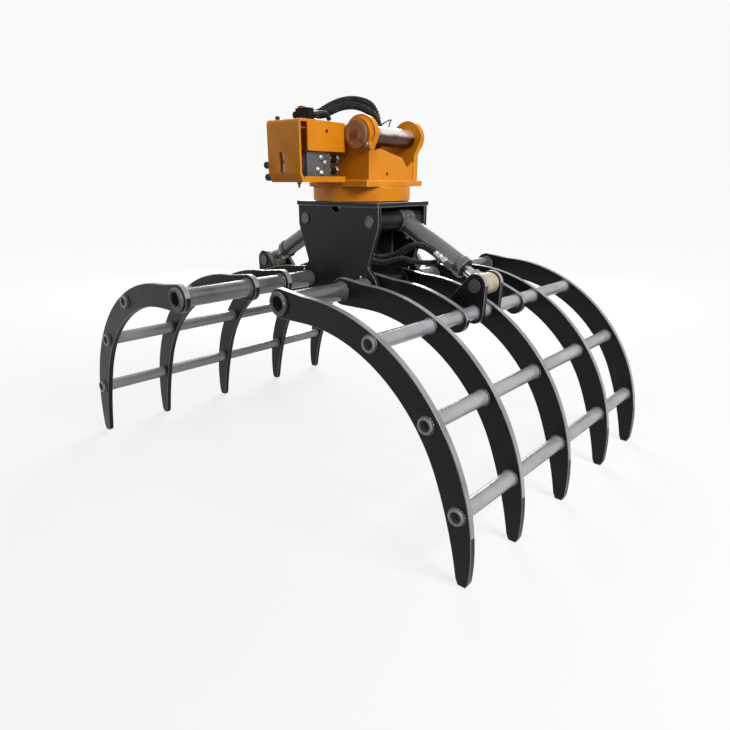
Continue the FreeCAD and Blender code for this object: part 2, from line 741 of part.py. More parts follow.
def gear(name, teeth, bore, height, base, turn):
    """A spur gear with straight-sided teeth, one of them centred at the angle turn."""
    module = size(gear_module)
    pitch = module * teeth / 2
    step = 2 * math.pi / teeth
    profile = []
    for number in range(teeth):
        middle_angle = number * step + math.radians(turn)
        for radius, part_of_step in (
            (pitch - 1.2 * module, -0.36),
            (pitch + 0.9 * module, -0.12),
            (pitch + 0.9 * module, 0.12),
            (pitch - 1.2 * module, 0.36),
        ):
            angle = middle_angle + part_of_step * step
            profile.append(Vector(radius * math.cos(angle), radius * math.sin(angle), 0))
    face = Part.Face(Part.makePolygon(profile + profile[:1]))
    solid = face.extrude(Vector(0, 0, size(height)))
    solid = solid.cut(Part.makeCylinder(size(bore), size(height)))
    thing = doc.addObject("Part::Feature", name)
    thing.Shape = solid
    thing.Placement = FreeCAD.Placement(base, Rotation())
    return thing


# Slewing ring: the toothed ring turns with the frame, the pinion rides on the head.
land = "(HousingRadius - HousingWall - OuterRingWidth)"
gear_centre = "(%s * (GearTeeth + PinionTeeth) / 2 + GearBacklash)" % gear_module
turn = size("HeadTurn")
teeth_large = int(size("GearTeeth"))
teeth_small = int(size("PinionTeeth"))
toothed = gear("slew_teeth", teeth_large, "GearBore", "GearHeight",
               Vector(0, 0, size("PivotHeight + GearRise")), 180 + turn)
lower = rod("slew_flange", land + " - RunClearance", "GearRise - TopRise", "Z",
            "0", "0", "PivotHeight + TopRise")
lower_bore = rod("slew_flange_bore", "GearBore", "GearRise - TopRise", "Z",
                 "0", "0", "PivotHeight + TopRise")
keep(fuse("slew_ring_body", cut("slew_flange_ring", lower, lower_bore), toothed), "slew_gear_ring")

# Head: drawn in its own frame, X out and Y to the far side, then turned about the slewing axis.
base_half = "(EarInner + EarThickness + BaseLedge)"


def turned(thing, label):
    thing.Placement = FreeCAD.Placement(Vector(), Rotation(Vector(0, 0, 1), size("HeadTurn")))
    thing.setExpression(".Placement.Rotation.Angle", "Dimensions.HeadTurn")
    return keep(thing, label)


turned(ring("housing_wall", "HousingRadius", "HousingRadius - HousingWall",
            "BaseRise - TopRise - HousingGap", "Z",
            "0", "0", "PivotHeight + TopRise + HousingGap"), "slew_housing")
turned(ring("outer_ring", "HousingRadius - HousingWall", land, "GearRise - TopRise - HousingGap", "Z",
            "0", "0", "PivotHeight + TopRise + HousingGap"), "slew_outer_ring")

base_corners = [
    ("-BaseHalfWidth + BaseClip", "-" + base_half),
    ("BaseHalfWidth", "-" + base_half),
    ("BaseHalfWidth", base_half),
    ("-BaseHalfWidth + BaseClip", base_half),
    ("-BaseHalfWidth", "%s - BaseClip" % base_half),
    ("-BaseHalfWidth", "-%s + BaseClip" % base_half),
]
base = plate("base_body", base_corners, "BaseThickness",
             [("0", "0", "SwivelRadius + 3"), ("-" + gear_centre, "0", "ShaftRadius + 2")], "XY_Plane")
put(base, "0", "0", "PivotHeight + BaseRise + BaseThickness / 2")
turned(group("base_held", base), "head_base_plate")

dip_out = "(PinStation - EarTopRadius * cos(EarShoulderAngle))"
dip_up = "(PinRise + EarTopRadius * sin(EarShoulderAngle))"
side_out = "(PinStation + EarTopRadius)"
base_top = "(BaseRise + BaseThickness)"
ear_plate_corners = [
    ("-EarHalfWidth", base_top),
    ("EarHalfWidth", base_top),
    ("EarHalfWidth", "EarSideRise"),
    (side_out, "PinRise", "EarTopRadius", 1),
    (dip_out, dip_up, "EarDipRadius", -1),
    ("-" + dip_out, dip_up, "EarTopRadius", 1),
    ("-" + side_out, "PinRise"),
    ("-EarHalfWidth", "EarSideRise"),
]
keeper_out = "(PinStation + EarBossRadius * cos(40))"
keeper_rise = "(PinRise - EarBossRadius * sin(40))"
for word, sign in (("near", "-"), ("far", "")):
    holes = [("PinStation", "PinRise", "HeadPinRadius"), ("-PinStation", "PinRise", "HeadPinRadius")]
    ear = plate("ear_plate_" + word, ear_plate_corners, "EarThickness", holes)
    put(ear, "0", sign + "(EarInner + EarThickness / 2)", "PivotHeight")
    face = "EarInner + EarThickness" if sign == "" else "-EarInner - EarThickness - EarBoss"
    bosses = [
        ring("ear_boss_%s_%s" % (word, tag), "EarBossRadius", "HeadPinRadius", "EarBoss", "Y",
             flip + "PinStation", face, "PivotHeight + PinRise")
        for tag, flip in (("front", ""), ("rear", "-"))
    ]
    if word == "near":
        bosses.append(block("keeper_lug", "KeeperSide", "EarBoss", "KeeperSide",
                            keeper_out + " - KeeperSide / 2", "-EarInner - EarThickness - EarBoss",
                            "PivotHeight + " + keeper_rise + " - KeeperSide / 2"))
    turned(fuse("ear_body_" + word, ear, *bosses), word + "_ear")

outside = "(EarInner + EarThickness + EarBoss)"
pin = rod("head_pin_bar", "HeadPinRadius", "2 * " + outside, "Y", "PinStation", "-" + outside,
          "PivotHeight + PinRise")
disc = rod("head_pin_disc", "PinHeadRadius", "PinHeadThickness", "Y", "PinStation",
           "-" + outside + " - PinHeadThickness", "PivotHeight + PinRise")
keeper_bolt = rod("keeper_bolt", "9", "9", "Y", keeper_out, "-EarInner - EarThickness - EarBoss - 9",
                  "PivotHeight + " + keeper_rise)
turned(group("head_pin_set", fuse("head_pin_body", pin, disc), keeper_bolt), "head_pin")

brace_corners = [
    ("-EarInner", base_top),
    ("EarInner", base_top),
    ("EarInner", "CrossPlateRise"),
    ("EarInner * 0.7", "CrossPlateRise - 26"),
    ("EarInner * 0.45", "CrossPlateRise + 14"),
    ("-EarInner * 0.62", "CrossPlateRise + 48"),
    ("-EarInner", "CrossPlateRise + 30"),
]
cross = plate("cross_front_plate", brace_corners, "CrossPlateThickness",
              [("-EarInner * 0.28", "BaseRise + BaseThickness + 26", "9")], "YZ_Plane")
put(cross, "CrossPlateOut - CrossPlateThickness / 2", "0", "PivotHeight")
turned(group("cross_front_held", cross), "front_cross_plate")
rear_plate = block("cross_rear_slab", "CrossPlateThickness", "2 * EarInner",
                   "CrossPlateRise - BaseRise - BaseThickness",
                   "-CrossPlateOut", "-EarInner", "PivotHeight + BaseRise + BaseThickness")
motor_gap = rod("cross_rear_gap", "MotorRadius + 3", "CrossPlateRise - BaseRise", "Z", "-" + gear_centre, "0",
                "PivotHeight + BaseRise")
turned(cut("cross_rear_body", rear_plate, motor_gap), "rear_cross_plate")

# Guard box beside the near ear: one folded sheet, a back wall and a side panel.
near_end = "-" + base_half
box_corners = [
    (near_end, "BoxFloorRise"),
    (near_end, "BoxFloorRise + BoxSheet"),
    ("-BoxFar + FoldInset + BoxSheet", "BoxFloorRise + BoxSheet"),
    ("-BoxFar + BoxSheet", "FoldRise"),
    ("-BoxFar + BoxSheet", "BoxRise - BoxBendRadius", "BoxBendRadius - BoxSheet", -1),
    ("-BoxFar + BoxBendRadius", "BoxRise - BoxSheet"),
    (near_end, "BoxRise - BoxSheet"),
    (near_end, "BoxRise"),
    ("-BoxFar + BoxBendRadius", "BoxRise", "BoxBendRadius", 1),
    ("-BoxFar", "BoxRise - BoxBendRadius"),
    ("-BoxFar", "FoldRise"),
    ("-BoxFar + FoldInset", "BoxFloorRise"),
]
sheet_ring = plate("box_sheet", box_corners, "BoxOut + BoxNear", [], "YZ_Plane")
put(sheet_ring, "(BoxOut - BoxNear) / 2", "0", "PivotHeight")
slot_x = "(BoxOut - BoxNear) / 2 - SlotWidth / 2 - 12"
slot_low = "PivotHeight + SlotRise - SlotHeight / 2 + SlotWidth / 2"
slot_hole = fuse(
    "box_slot",
    block("box_slot_middle", "SlotWidth", "BoxSheet + 2", "SlotHeight - SlotWidth",
          slot_x, "-BoxFar - 1", slot_low),
    rod("box_slot_low", "SlotWidth / 2", "BoxSheet + 2", "Y",
        slot_x + " + SlotWidth / 2", "-BoxFar - 1", slot_low),
    rod("box_slot_high", "SlotWidth / 2", "BoxSheet + 2", "Y", slot_x + " + SlotWidth / 2", "-BoxFar - 1",
        slot_low + " + SlotHeight - SlotWidth"),
)
back = block("box_back", "BoxSheet", "BoxFar - " + base_half + " - 2 * BoxSheet",
             "BoxRise - FoldRise - BoxBendRadius",
             "-BoxNear", "-BoxFar + BoxSheet", "PivotHeight + FoldRise")
rim = block("box_rim", "BoxSheet", "BoxFar - " + base_half + " - FoldInset - BoxSheet", "BoxRim",
            "BoxOut - BoxSheet", near_end + " - (BoxFar - " + base_half + " - FoldInset - BoxSheet)",
            "PivotHeight + BoxFloorRise + BoxSheet")
back_foot = block("box_back_foot", "BoxSheet", "BoxFar - " + base_half + " - FoldInset - 2 * BoxSheet",
                  "FoldRise - BoxFloorRise - BoxSheet", "-BoxNear", "-BoxFar + FoldInset + 2 * BoxSheet",
                  "PivotHeight + BoxFloorRise + BoxSheet")
turned(cut("box_body", fuse("box_whole", sheet_ring, back, back_foot, rim), slot_hole), "guard_box")
panel = block("panel_slab", "BoxSheet", "PanelStart - " + base_half, "BoxRise - PanelLowRise - BoxSheet",
              "BoxOut - BoxSheet", "-PanelStart", "PivotHeight + PanelLowRise")
panel_hole = rod("panel_hole", "8", "BoxSheet + 2", "X", "BoxOut - BoxSheet - 1",
                 "-PanelStart + 0.5 * (PanelStart - " + base_half + ")", "PivotHeight + PanelLowRise + 75")
turned(cut("panel_body", panel, panel_hole), "guard_side_panel")

floor = "PivotHeight + BoxFloorRise + BoxSheet"
block_start = "(-BoxFar + BlockInset)"
steel = block("block_slab", "BlockDepth", "BlockLength", "BlockHeight", "BlockOut - BlockDepth",
              block_start, floor)
port_spots = ((85, 72), (109, 53), (65, 26), (86, 14))
ports = [
    rod("block_port_%d" % number, "PortRadius", "PortDepth + 1", "X", "BlockOut - PortDepth",
        "%s + %d" % (block_start, along), floor + " + %d" % (up + 10))
    for number, (along, up) in enumerate(port_spots, start=1)
]
turned(cut("block_body", steel, *ports), "valve_block")
fittings = [
    rod("fitting_%d" % number, radius, "BoxFar - BlockInset - BlockLength - " + base_half + " - 6", "Y",
        "BlockOut - %d" % inset, block_start + " + BlockLength", floor + " + %d" % up)
    for number, (radius, inset, up) in enumerate((("15", 24, 82), ("13", 26, 36)), start=1)
]
fittings.append(block("hose_manifold", "68", "ManifoldDepth", "ManifoldHeight", "-12", "-388 - ManifoldDepth",
                      "PivotHeight + BoxRise"))
for number, (x, rise) in enumerate(((8, 700), (36, 695)), start=1):
    fittings.append(rod("hose_ferrule_%d" % number, "FerruleRadius", "36", "Y", str(x), "-388",
                        "PivotHeight + %d" % rise))
turned(group("fittings_set", *fittings), "valve_fittings")
head_routes = (
    [(8, -351.7, 700), (8, -310, 700), (11, -245, 734), (14, -175, 760), (18, -95, 777), (21, -10, 777),
     (23, 43, 766), (25, 77, 736), (26, 93, 700), (25, 93, 660), (19, 72, 606), (10, 42, 549), (10, 42, 500.3)],
    [(36, -351.7, 695), (36, -310, 695), (37, -250, 720), (39, -185, 740), (42, -115, 750), (45, -45, 745),
     (47, 12, 729), (49, 47, 706), (50, 67, 675), (50, 73, 640), (48, 63, 598), (42, 34, 547), (42, 34, 500.3)],
)
head_hoses = [
    tube_along("head_hose_%d" % number, [(x, y, pivot_height + rise) for x, y, rise in route],
               size("HoseRadius"))
    for number, route in enumerate(head_routes, start=1)
]
turned(group("head_hoses_pair", *head_hoses), "head_hoses")
outlets = [
    rod("outlet_%d" % number, "14", "OutletReach", "X", "-BoxNear - OutletReach", "-BoxFar + %d" % along,
        "PivotHeight + %d" % up)
    for number, (along, up) in enumerate(((46, 506), (50, 459)), start=1)
]
turned(group("outlets_pair", *outlets), "hose_outlets")

motor = rod("motor_case", "MotorRadius", "MotorHeight", "Z", "-" + gear_centre, "0",
            "PivotHeight + BaseRise + BaseThickness")
turned(group("motor_held", motor), "slew_motor")
pinion = gear("pinion_teeth", teeth_small, "ShaftRadius", "GearHeight", Vector(), 180.0 / teeth_small)
put(pinion, "-" + gear_centre, "0", "PivotHeight + GearRise")
shaft = rod("pinion_shaft", "ShaftRadius", "BaseRise + BaseThickness - GearRise", "Z", "-" + gear_centre, "0",
            "PivotHeight + GearRise")
turned(fuse("pinion_body", pinion, shaft), "slew_pinion")

rotor = rod("rotor_bar", "SwivelRadius",
            "BaseRise + BaseThickness + StatorDepth - " + plate_top + " + 40", "Z",
            "0", "0", "PivotHeight + " + plate_top + " - 40")
keep(rotor, "swivel_rotor")
stator_outer = rod("stator_outer", "SwivelRadius + 24", "StatorDepth + 14", "Z", "0", "0",
                   "PivotHeight + BaseRise + BaseThickness")
stator_bore = rod("stator_bore", "SwivelRadius + RunClearance", "StatorDepth + 0.5", "Z", "0", "0",
                  "PivotHeight + BaseRise + BaseThickness")
turned(cut("stator_body", stator_outer, stator_bore), "swivel_stator")

doc.recompute()
for thing in doc.Objects:
    for word in ("Invalid", "Error"):
        if word in thing.State:
            raise RuntimeError("%s (%s) is %s" % (thing.Name, thing.Label, word))
for thing in parts:
    if thing.Shape.isNull() or not thing.Shape.isValid():
        raise RuntimeError(thing.Label + " has no valid shape")
for thing in parts:
    thing.Shape.exportStep("parts/%s.step" % thing.Label)
print("%d sub-parts, lower arc %.1f, cylinder %.3f at %.4f degrees, gear module %.3f" % (
    len(parts), size(sweep_radius), size(closed_length), slope, size(gear_module)))
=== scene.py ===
import json
import math
import bmesh
import bpy
import numpy as np
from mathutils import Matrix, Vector


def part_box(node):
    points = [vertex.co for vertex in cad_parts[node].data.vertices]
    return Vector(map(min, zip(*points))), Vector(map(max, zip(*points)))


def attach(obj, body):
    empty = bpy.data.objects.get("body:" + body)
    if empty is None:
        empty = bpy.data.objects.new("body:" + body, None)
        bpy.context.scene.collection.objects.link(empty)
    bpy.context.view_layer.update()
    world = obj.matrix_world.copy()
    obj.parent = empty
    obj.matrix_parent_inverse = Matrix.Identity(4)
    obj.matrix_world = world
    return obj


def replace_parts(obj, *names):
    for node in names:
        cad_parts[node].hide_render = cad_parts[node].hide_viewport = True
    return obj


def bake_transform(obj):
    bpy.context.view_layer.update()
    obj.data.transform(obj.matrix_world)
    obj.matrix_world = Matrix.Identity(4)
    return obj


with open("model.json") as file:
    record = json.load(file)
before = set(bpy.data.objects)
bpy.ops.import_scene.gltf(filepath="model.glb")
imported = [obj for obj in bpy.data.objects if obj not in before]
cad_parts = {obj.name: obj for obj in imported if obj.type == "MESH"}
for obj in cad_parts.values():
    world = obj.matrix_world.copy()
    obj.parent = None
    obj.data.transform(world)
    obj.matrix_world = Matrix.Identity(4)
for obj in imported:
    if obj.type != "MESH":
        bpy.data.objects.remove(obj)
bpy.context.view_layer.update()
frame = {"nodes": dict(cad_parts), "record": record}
nodes = frame["nodes"]
slotOf = {part["node"]: part["material_slot"] for part in frame["record"]["subparts"]}
bodyOf = {node: body for body, held in frame["record"]["behaviour"]["bodies"].items() for node in held}
print("frame loaded:", len(nodes), "nodes")

# Camera, floor and light.

cameraValues = {
    "place": (1.866, -2.027, 1.268),
    "looking": (-0.641, 0.704, -0.307),
    "focalPixels": 571.0,  # focal length counted in pixels of the picture
    "pictureWidth": 730,
}


def placeCamera(values):
    cameraData = bpy.data.cameras.new("photoCamera")
    cameraData.sensor_width = 36
    cameraData.lens = 36 * values["focalPixels"] / values["pictureWidth"]
    camera = bpy.data.objects.new("photoCamera", cameraData)
    bpy.context.scene.collection.objects.link(camera)
    camera.location = values["place"]
    camera.rotation_euler = Vector(values["looking"]).to_track_quat("-Z", "Y").to_euler()
    bpy.context.scene.camera = camera
    bpy.context.scene.view_settings.view_transform = "Standard"


lightValues = {
    "lamps": {  # place, size in metres, power in watts
        "keyLamp": ((4.2, -0.3, 3.5), 2.0, 235),
        "fillLamp": ((-2.6, -4.0, 2.4), 3.0, 36),
        "rimLamp": ((-3.4, 3.7, 2.7), 3.2, 330),
    },
    "aim": (0, 0, 0.8),
    "worldColour": (0.93, 0.96, 1.0), "worldPower": 0.3, "seenPower": 0.95,
}


def addLamp(name, place, size, power):
    lampData = bpy.data.lights.new(name, "AREA")
    lampData.size = size
    lampData.energy = power
    lamp = bpy.data.objects.new(name, lampData)
    bpy.context.scene.collection.objects.link(lamp)
    lamp.location = place
    lamp.rotation_euler = (Vector(lightValues["aim"]) - Vector(place)).to_track_quat("-Z", "Y").to_euler()


def seenRays(tree):
    # One where the camera or a reflection looks, nought where the surface only gives light.
    path = tree.nodes.new("ShaderNodeLightPath")
    both = tree.nodes.new("ShaderNodeMath")
    both.operation = "MAXIMUM"
    tree.links.new(path.outputs["Is Camera Ray"], both.inputs[0])
    tree.links.new(path.outputs["Is Glossy Ray"], both.inputs[1])
    return both.outputs[0]


def lightTheScene(values):
    for name, (place, size, power) in values["lamps"].items():
        addLamp(name, place, size, power)
    world = bpy.data.worlds.new("paleWorld")
    bpy.context.scene.world = world
    world.use_nodes = True
    tree = world.node_tree
    tree.nodes.clear()
    output = tree.nodes.new("ShaderNodeOutputWorld")
    around = tree.nodes.new("ShaderNodeBackground")
    around.inputs["Color"].default_value = (*values["worldColour"], 1)
    around.inputs["Strength"].default_value = values["worldPower"]
    seen = tree.nodes.new("ShaderNodeBackground")
    seen.inputs["Color"].default_value = (1, 1, 1, 1)
    seen.inputs["Strength"].default_value = values["seenPower"]
    mix = tree.nodes.new("ShaderNodeMixShader")
    tree.links.new(seenRays(tree), mix.inputs["Fac"])
    tree.links.new(around.outputs[0], mix.inputs[1])
    tree.links.new(seen.outputs[0], mix.inputs[2])
    tree.links.new(mix.outputs[0], output.inputs["Surface"])


floorValues = {
    "halfSide": 14.0, "colour": (0.18, 0.18, 0.18),
    "ownLight": (1.0, 8.0, 0.74, 0.90),  # near and far distance in metres, then the light at each
}


def layFloor(values):
    half = values["halfSide"]
    mesh = bpy.data.meshes.new("paleFloor")
    corners = [(-half, -half, 0), (half, -half, 0), (half, half, 0), (-half, half, 0)]
    mesh.from_pydata(corners, [], [(0, 1, 2, 3)])
    floor = bpy.data.objects.new("paleFloor", mesh)
    bpy.context.scene.collection.objects.link(floor)
    material = bpy.data.materials.new("paleFloor")
    material.use_nodes = True
    tree = material.node_tree
    shader = tree.nodes["Principled BSDF"]
    shader.inputs["Base Color"].default_value = (*values["colour"], 1)
    shader.inputs["Roughness"].default_value = 1
    shader.inputs["Specular IOR Level"].default_value = 0
    shader.inputs["Emission Color"].default_value = (1, 1, 1, 1)
    # The lamps reach the near floor alone, so its own light grows with the distance from the middle.
    place = tree.nodes.new("ShaderNodeTexCoord")
    away = tree.nodes.new("ShaderNodeVectorMath")
    away.operation = "LENGTH"
    tree.links.new(place.outputs["Object"], away.inputs[0])
    spread = tree.nodes.new("ShaderNodeMapRange")
    spread.interpolation_type = "SMOOTHSTEP"
    tree.links.new(away.outputs["Value"], spread.inputs["Value"])
    for word, amount in zip(("From Min", "From Max", "To Min", "To Max"), values["ownLight"]):
        spread.inputs[word].default_value = amount
    strength = tree.nodes.new("ShaderNodeMath")
    strength.operation = "MULTIPLY"
    tree.links.new(spread.outputs["Result"], strength.inputs[1])
    tree.links.new(seenRays(tree), strength.inputs[0])
    tree.links.new(strength.outputs[0], shader.inputs["Emission Strength"])
    mesh.materials.append(material)


placeCamera(cameraValues)
lightTheScene(lightValues)
layFloor(floorValues)
print("camera, lamps and floor placed")

# Shared surface effects.


def newGroup(name, inputs, outputs):
    group = bpy.data.node_groups.new(name, "ShaderNodeTree")
    for label, value in inputs:
        socket = group.interface.new_socket(name=label, in_out="INPUT", socket_type="NodeSocketFloat")
        socket.default_value = value
    for label in outputs:
        group.interface.new_socket(name=label, in_out="OUTPUT", socket_type="NodeSocketFloat")
    return group, group.nodes.new("NodeGroupInput"), group.nodes.new("NodeGroupOutput")


def addMath(tree, operation, first, second=None):
    node = tree.nodes.new("ShaderNodeMath")
    node.operation = operation
    for socket, value in zip(node.inputs, (first, second)):
        if value is None:
            continue
        if isinstance(value, (int, float)):
            socket.default_value = value
        else:
            tree.links.new(value, socket)
    return node.outputs[0]


def addNoise(tree, scale, detail=4.0, stretch=None, turn=None):
    place = tree.nodes.new("ShaderNodeTexCoord").outputs["Object"]
    if stretch:
        mapping = tree.nodes.new("ShaderNodeMapping")
        mapping.inputs["Scale"].default_value = stretch
        if turn:
            mapping.inputs["Rotation"].default_value = turn
        tree.links.new(place, mapping.inputs["Vector"])
        place = mapping.outputs[0]
    noise = tree.nodes.new("ShaderNodeTexNoise")
    noise.inputs["Detail"].default_value = detail
    tree.links.new(place, noise.inputs["Vector"])
    if isinstance(scale, (int, float)):
        noise.inputs["Scale"].default_value = scale
    else:
        tree.links.new(scale, noise.inputs["Scale"])
    return noise.outputs["Fac"]


def addStep(tree, value, low, high):
    node = tree.nodes.new("ShaderNodeMapRange")
    node.interpolation_type = "SMOOTHSTEP"
    for socket, item in ((node.inputs["Value"], value), (node.inputs["From Min"], low),
                         (node.inputs["From Max"], high)):
        if isinstance(item, (int, float)):
            socket.default_value = item
        else:
            tree.links.new(item, socket)
    return node.outputs["Result"]


def buildScuffs():
    # Patches of fine scratches in two slanting directions, with a few specks where the paint is chipped.
    tree, start, end = newGroup("handlingScuffs", [("Amount", 0.4), ("Size", 6.0)], ["Mask"])
    patches = addStep(tree, addNoise(tree, start.outputs["Size"], 5.0), 0.5, 0.7)
    first = addStep(tree, addNoise(tree, 46.0, 6.0, (1.0, 0.3, 5.0), (0.5, 0.3, 0.2)), 0.57, 0.66)
    second = addStep(tree, addNoise(tree, 52.0, 6.0, (4.0, 0.4, 1.0), (0.2, -0.6, 0.4)), 0.6, 0.68)
    specks = addStep(tree, addNoise(tree, 190.0, 2.0), 0.67, 0.72)
    marks = addMath(tree, "MAXIMUM", addMath(tree, "MAXIMUM", first, second), specks)
    worn = addMath(tree, "MULTIPLY", addMath(tree, "MULTIPLY", patches, marks), start.outputs["Amount"])
    tree.links.new(worn, end.inputs["Mask"])
    return tree


def buildDustAndSheen():
    # Dust lies on faces that look up, in cloudy patches; with a high amount the same lighter colour is a
    # painted sheen on the upward faces.
    tree, start, end = newGroup("dustAndTopSheen", [("Amount", 0.3), ("Size", 9.0)], ["Mask"])
    face = tree.nodes.new("ShaderNodeNewGeometry")
    split = tree.nodes.new("ShaderNodeSeparateXYZ")
    tree.links.new(face.outputs["Normal"], split.inputs[0])
    upward = addStep(tree, split.outputs["Z"], 0.35, 1.0)
    clouds = addStep(tree, addNoise(tree, start.outputs["Size"], 5.0), 0.35, 0.75)
    dustAndSheen = addMath(tree, "MULTIPLY", addMath(tree, "MULTIPLY", upward, clouds), start.outputs["Amount"])
    tree.links.new(dustAndSheen, end.inputs["Mask"])
    return tree


def buildPaintSkin():
    # Height of sprayed paint: a low swell with a fine pebble on it; Tone drifts slowly over the piece.
    tree, start, end = newGroup("paintSkin", [("Pebble", 120.0), ("Swell", 9.0)], ["Height", "Tone"])
    pebble = addNoise(tree, start.outputs["Pebble"], 2.0)
    swell = addNoise(tree, start.outputs["Swell"], 3.0)
    height = addMath(tree, "ADD", addMath(tree, "MULTIPLY", pebble, 0.3), addMath(tree, "MULTIPLY", swell, 0.7))
    tree.links.new(height, end.inputs["Height"])
    tree.links.new(addStep(tree, swell, 0.3, 0.7), end.inputs["Tone"])
    return tree


def buildToolMarks():
    # Fine turned or ground lines round a pin that runs along Y, with darker stains.
    tree, start, end = newGroup("toolMarks", [("Fineness", 900.0), ("Stain", 14.0)], ["Height", "Stain"])
    lines = addNoise(tree, start.outputs["Fineness"], 1.0, (0.02, 1.0, 0.02))
    stain = addStep(tree, addNoise(tree, start.outputs["Stain"], 6.0), 0.45, 0.68)
    tree.links.new(lines, end.inputs["Height"])
    tree.links.new(stain, end.inputs["Stain"])
    return tree


def buildUndersideShade():
    # Painted shade: what looks down or sideways is darkened, standing in for the dark surroundings it reflects;
    # the mask grows as the face turns from the sky.
    tree, start, end = newGroup("paintedUndersideShade", [("Size", 16.0)], ["Mask"])
    face = tree.nodes.new("ShaderNodeNewGeometry")
    split = tree.nodes.new("ShaderNodeSeparateXYZ")
    tree.links.new(face.outputs["Normal"], split.inputs[0])
    drift = addMath(tree, "MULTIPLY", addNoise(tree, start.outputs["Size"], 4.0), 0.5)
    lean = addMath(tree, "SUBTRACT", addMath(tree, "ADD", split.outputs["Z"], drift), 0.25)
    tree.links.new(addMath(tree, "SUBTRACT", 1.0, addStep(tree, lean, -0.02, 0.42)), end.inputs["Mask"])
    return tree


effects = {
    "undersideShade": buildUndersideShade(),
    "scuffs": buildScuffs(),
    "dustAndSheen": buildDustAndSheen(),
    "skin": buildPaintSkin(),
    "marks": buildToolMarks(),
}


def useEffect(tree, effect, **values):
    node = tree.nodes.new("ShaderNodeGroup")
    node.node_tree = effects[effect]
    for label, value in values.items():
        node.inputs[label].default_value = value
    return node


def addMix(tree, mask, first, second):
    node = tree.nodes.new("ShaderNodeMix")
    node.data_type = "RGBA"
    tree.links.new(mask, node.inputs["Factor"])
    for socket, value in ((node.inputs[6], first), (node.inputs[7], second)):
        if isinstance(value, tuple):
            socket.default_value = (*value, 1)
        else:
            tree.links.new(value, socket)
    return node.outputs[2]


def addBump(tree, height, depth, shader):
    bump = tree.nodes.new("ShaderNodeBump")
    bump.inputs["Strength"].default_value = 1.0
    bump.inputs["Distance"].default_value = depth
    tree.links.new(height, bump.inputs["Height"])
    tree.links.new(bump.outputs[0], shader.inputs["Normal"])


def paintedSteel(name, values):
    material = bpy.data.materials.new(name)
    material.use_nodes = True
    tree = material.node_tree
    shader = tree.nodes["Principled BSDF"]
    skin = useEffect(tree, "skin", Pebble=values["pebble"], Swell=values["swell"])
    scuffs = useEffect(tree, "scuffs", Amount=values["scuffs"], Size=values["scuffSize"])
    dustAndSheen = useEffect(tree, "dustAndSheen", Amount=values["dustAndSheen"], Size=values["dustAndSheenSize"])
    paint = addMix(tree, skin.outputs["Tone"], values["colour"], values["shade"])
    worn = addMix(tree, scuffs.outputs["Mask"], paint, values["bare"])
    withDustAndSheen = addMix(tree, dustAndSheen.outputs["Mask"], worn, values["dustAndSheenColour"])
    tree.links.new(withDustAndSheen, shader.inputs["Base Color"])
    gloss = addMath(tree, "MULTIPLY_ADD", skin.outputs["Tone"], values["glossDrift"])
    gloss.node.inputs[2].default_value = values["roughness"]
    rough = addMath(tree, "ADD", gloss, addMath(tree, "MULTIPLY", dustAndSheen.outputs["Mask"], 0.4))
    tree.links.new(rough, shader.inputs["Roughness"])
    shader.inputs["Specular IOR Level"].default_value = values["specular"]
    addBump(tree, skin.outputs["Height"], values["bump"], shader)
    return material


def bareSteel(name, values):
    material = bpy.data.materials.new(name)
    material.use_nodes = True
    tree = material.node_tree
    shader = tree.nodes["Principled BSDF"]
    marks = useEffect(tree, "marks", Fineness=values["fineness"], Stain=values["stainSize"])
    colour = addMix(tree, marks.outputs["Stain"], values["colour"], values["stain"])
    # Optional painted shade on the faces that look down or sideways.
    if "undersideShade" in values:
        colour = addMix(tree, useEffect(tree, "undersideShade").outputs["Mask"], colour, values["undersideShade"])
    tree.links.new(colour, shader.inputs["Base Color"])
    rough = addMath(tree, "MULTIPLY_ADD", marks.outputs["Stain"], values["glossDrift"])
    rough.node.inputs[2].default_value = values["roughness"]
    tree.links.new(rough, shader.inputs["Roughness"])
    shader.inputs["Metallic"].default_value = values["metal"]
    addBump(tree, marks.outputs["Height"], values["bump"], shader)
    return material


yellowValues = {
    "colour": (0.66, 0.225, 0.004), "shade": (0.58, 0.19, 0.004), "bare": (0.30, 0.09, 0.008),
    "dustAndSheenColour": (0.62, 0.36, 0.12), "pebble": 140.0, "swell": 7.0, "scuffs": 0.4, "scuffSize": 7.0,
    "dustAndSheen": 0.08, "dustAndSheenSize": 8.0, "glossDrift": 0.08, "roughness": 0.36, "specular": 0.2, "bump": 0.0006,
}
blackValues = {
    "colour": (0.0085, 0.0075, 0.010), "shade": (0.013, 0.0115, 0.015), "bare": (0.075, 0.07, 0.075),
    "dustAndSheenColour": (0.12, 0.12, 0.13), "pebble": 150.0, "swell": 6.0, "scuffs": 0.45, "scuffSize": 9.0,
    "dustAndSheen": 0.14, "dustAndSheenSize": 7.0, "glossDrift": 0.10, "roughness": 0.30, "specular": 0.17, "bump": 0.0006,
}
# Barrels, glands and pivot tubes: the high dust amount paints a light band along their tops, a painted
# highlight.
greyValues = dict(
    blackValues, colour=(0.062, 0.058, 0.064), shade=(0.11, 0.104, 0.11),
    specular=0.9, roughness=0.18, dustAndSheen=0.8,
)
# Cross tubes: a lighter grey, with their upward faces lightened further by the dust amount, a painted sheen.
tubeValues = dict(greyValues, colour=(0.24, 0.238, 0.25), shade=(0.33, 0.328, 0.34), dustAndSheen=0.4)
# Painted highlight for the upward faces of tines, arms and clevis plates.
tineTopHighlightValues = dict(
    blackValues, colour=(0.15, 0.147, 0.155), shade=(0.30, 0.297, 0.31), specular=0.8, roughness=0.2, dustAndSheen=0.4,
)
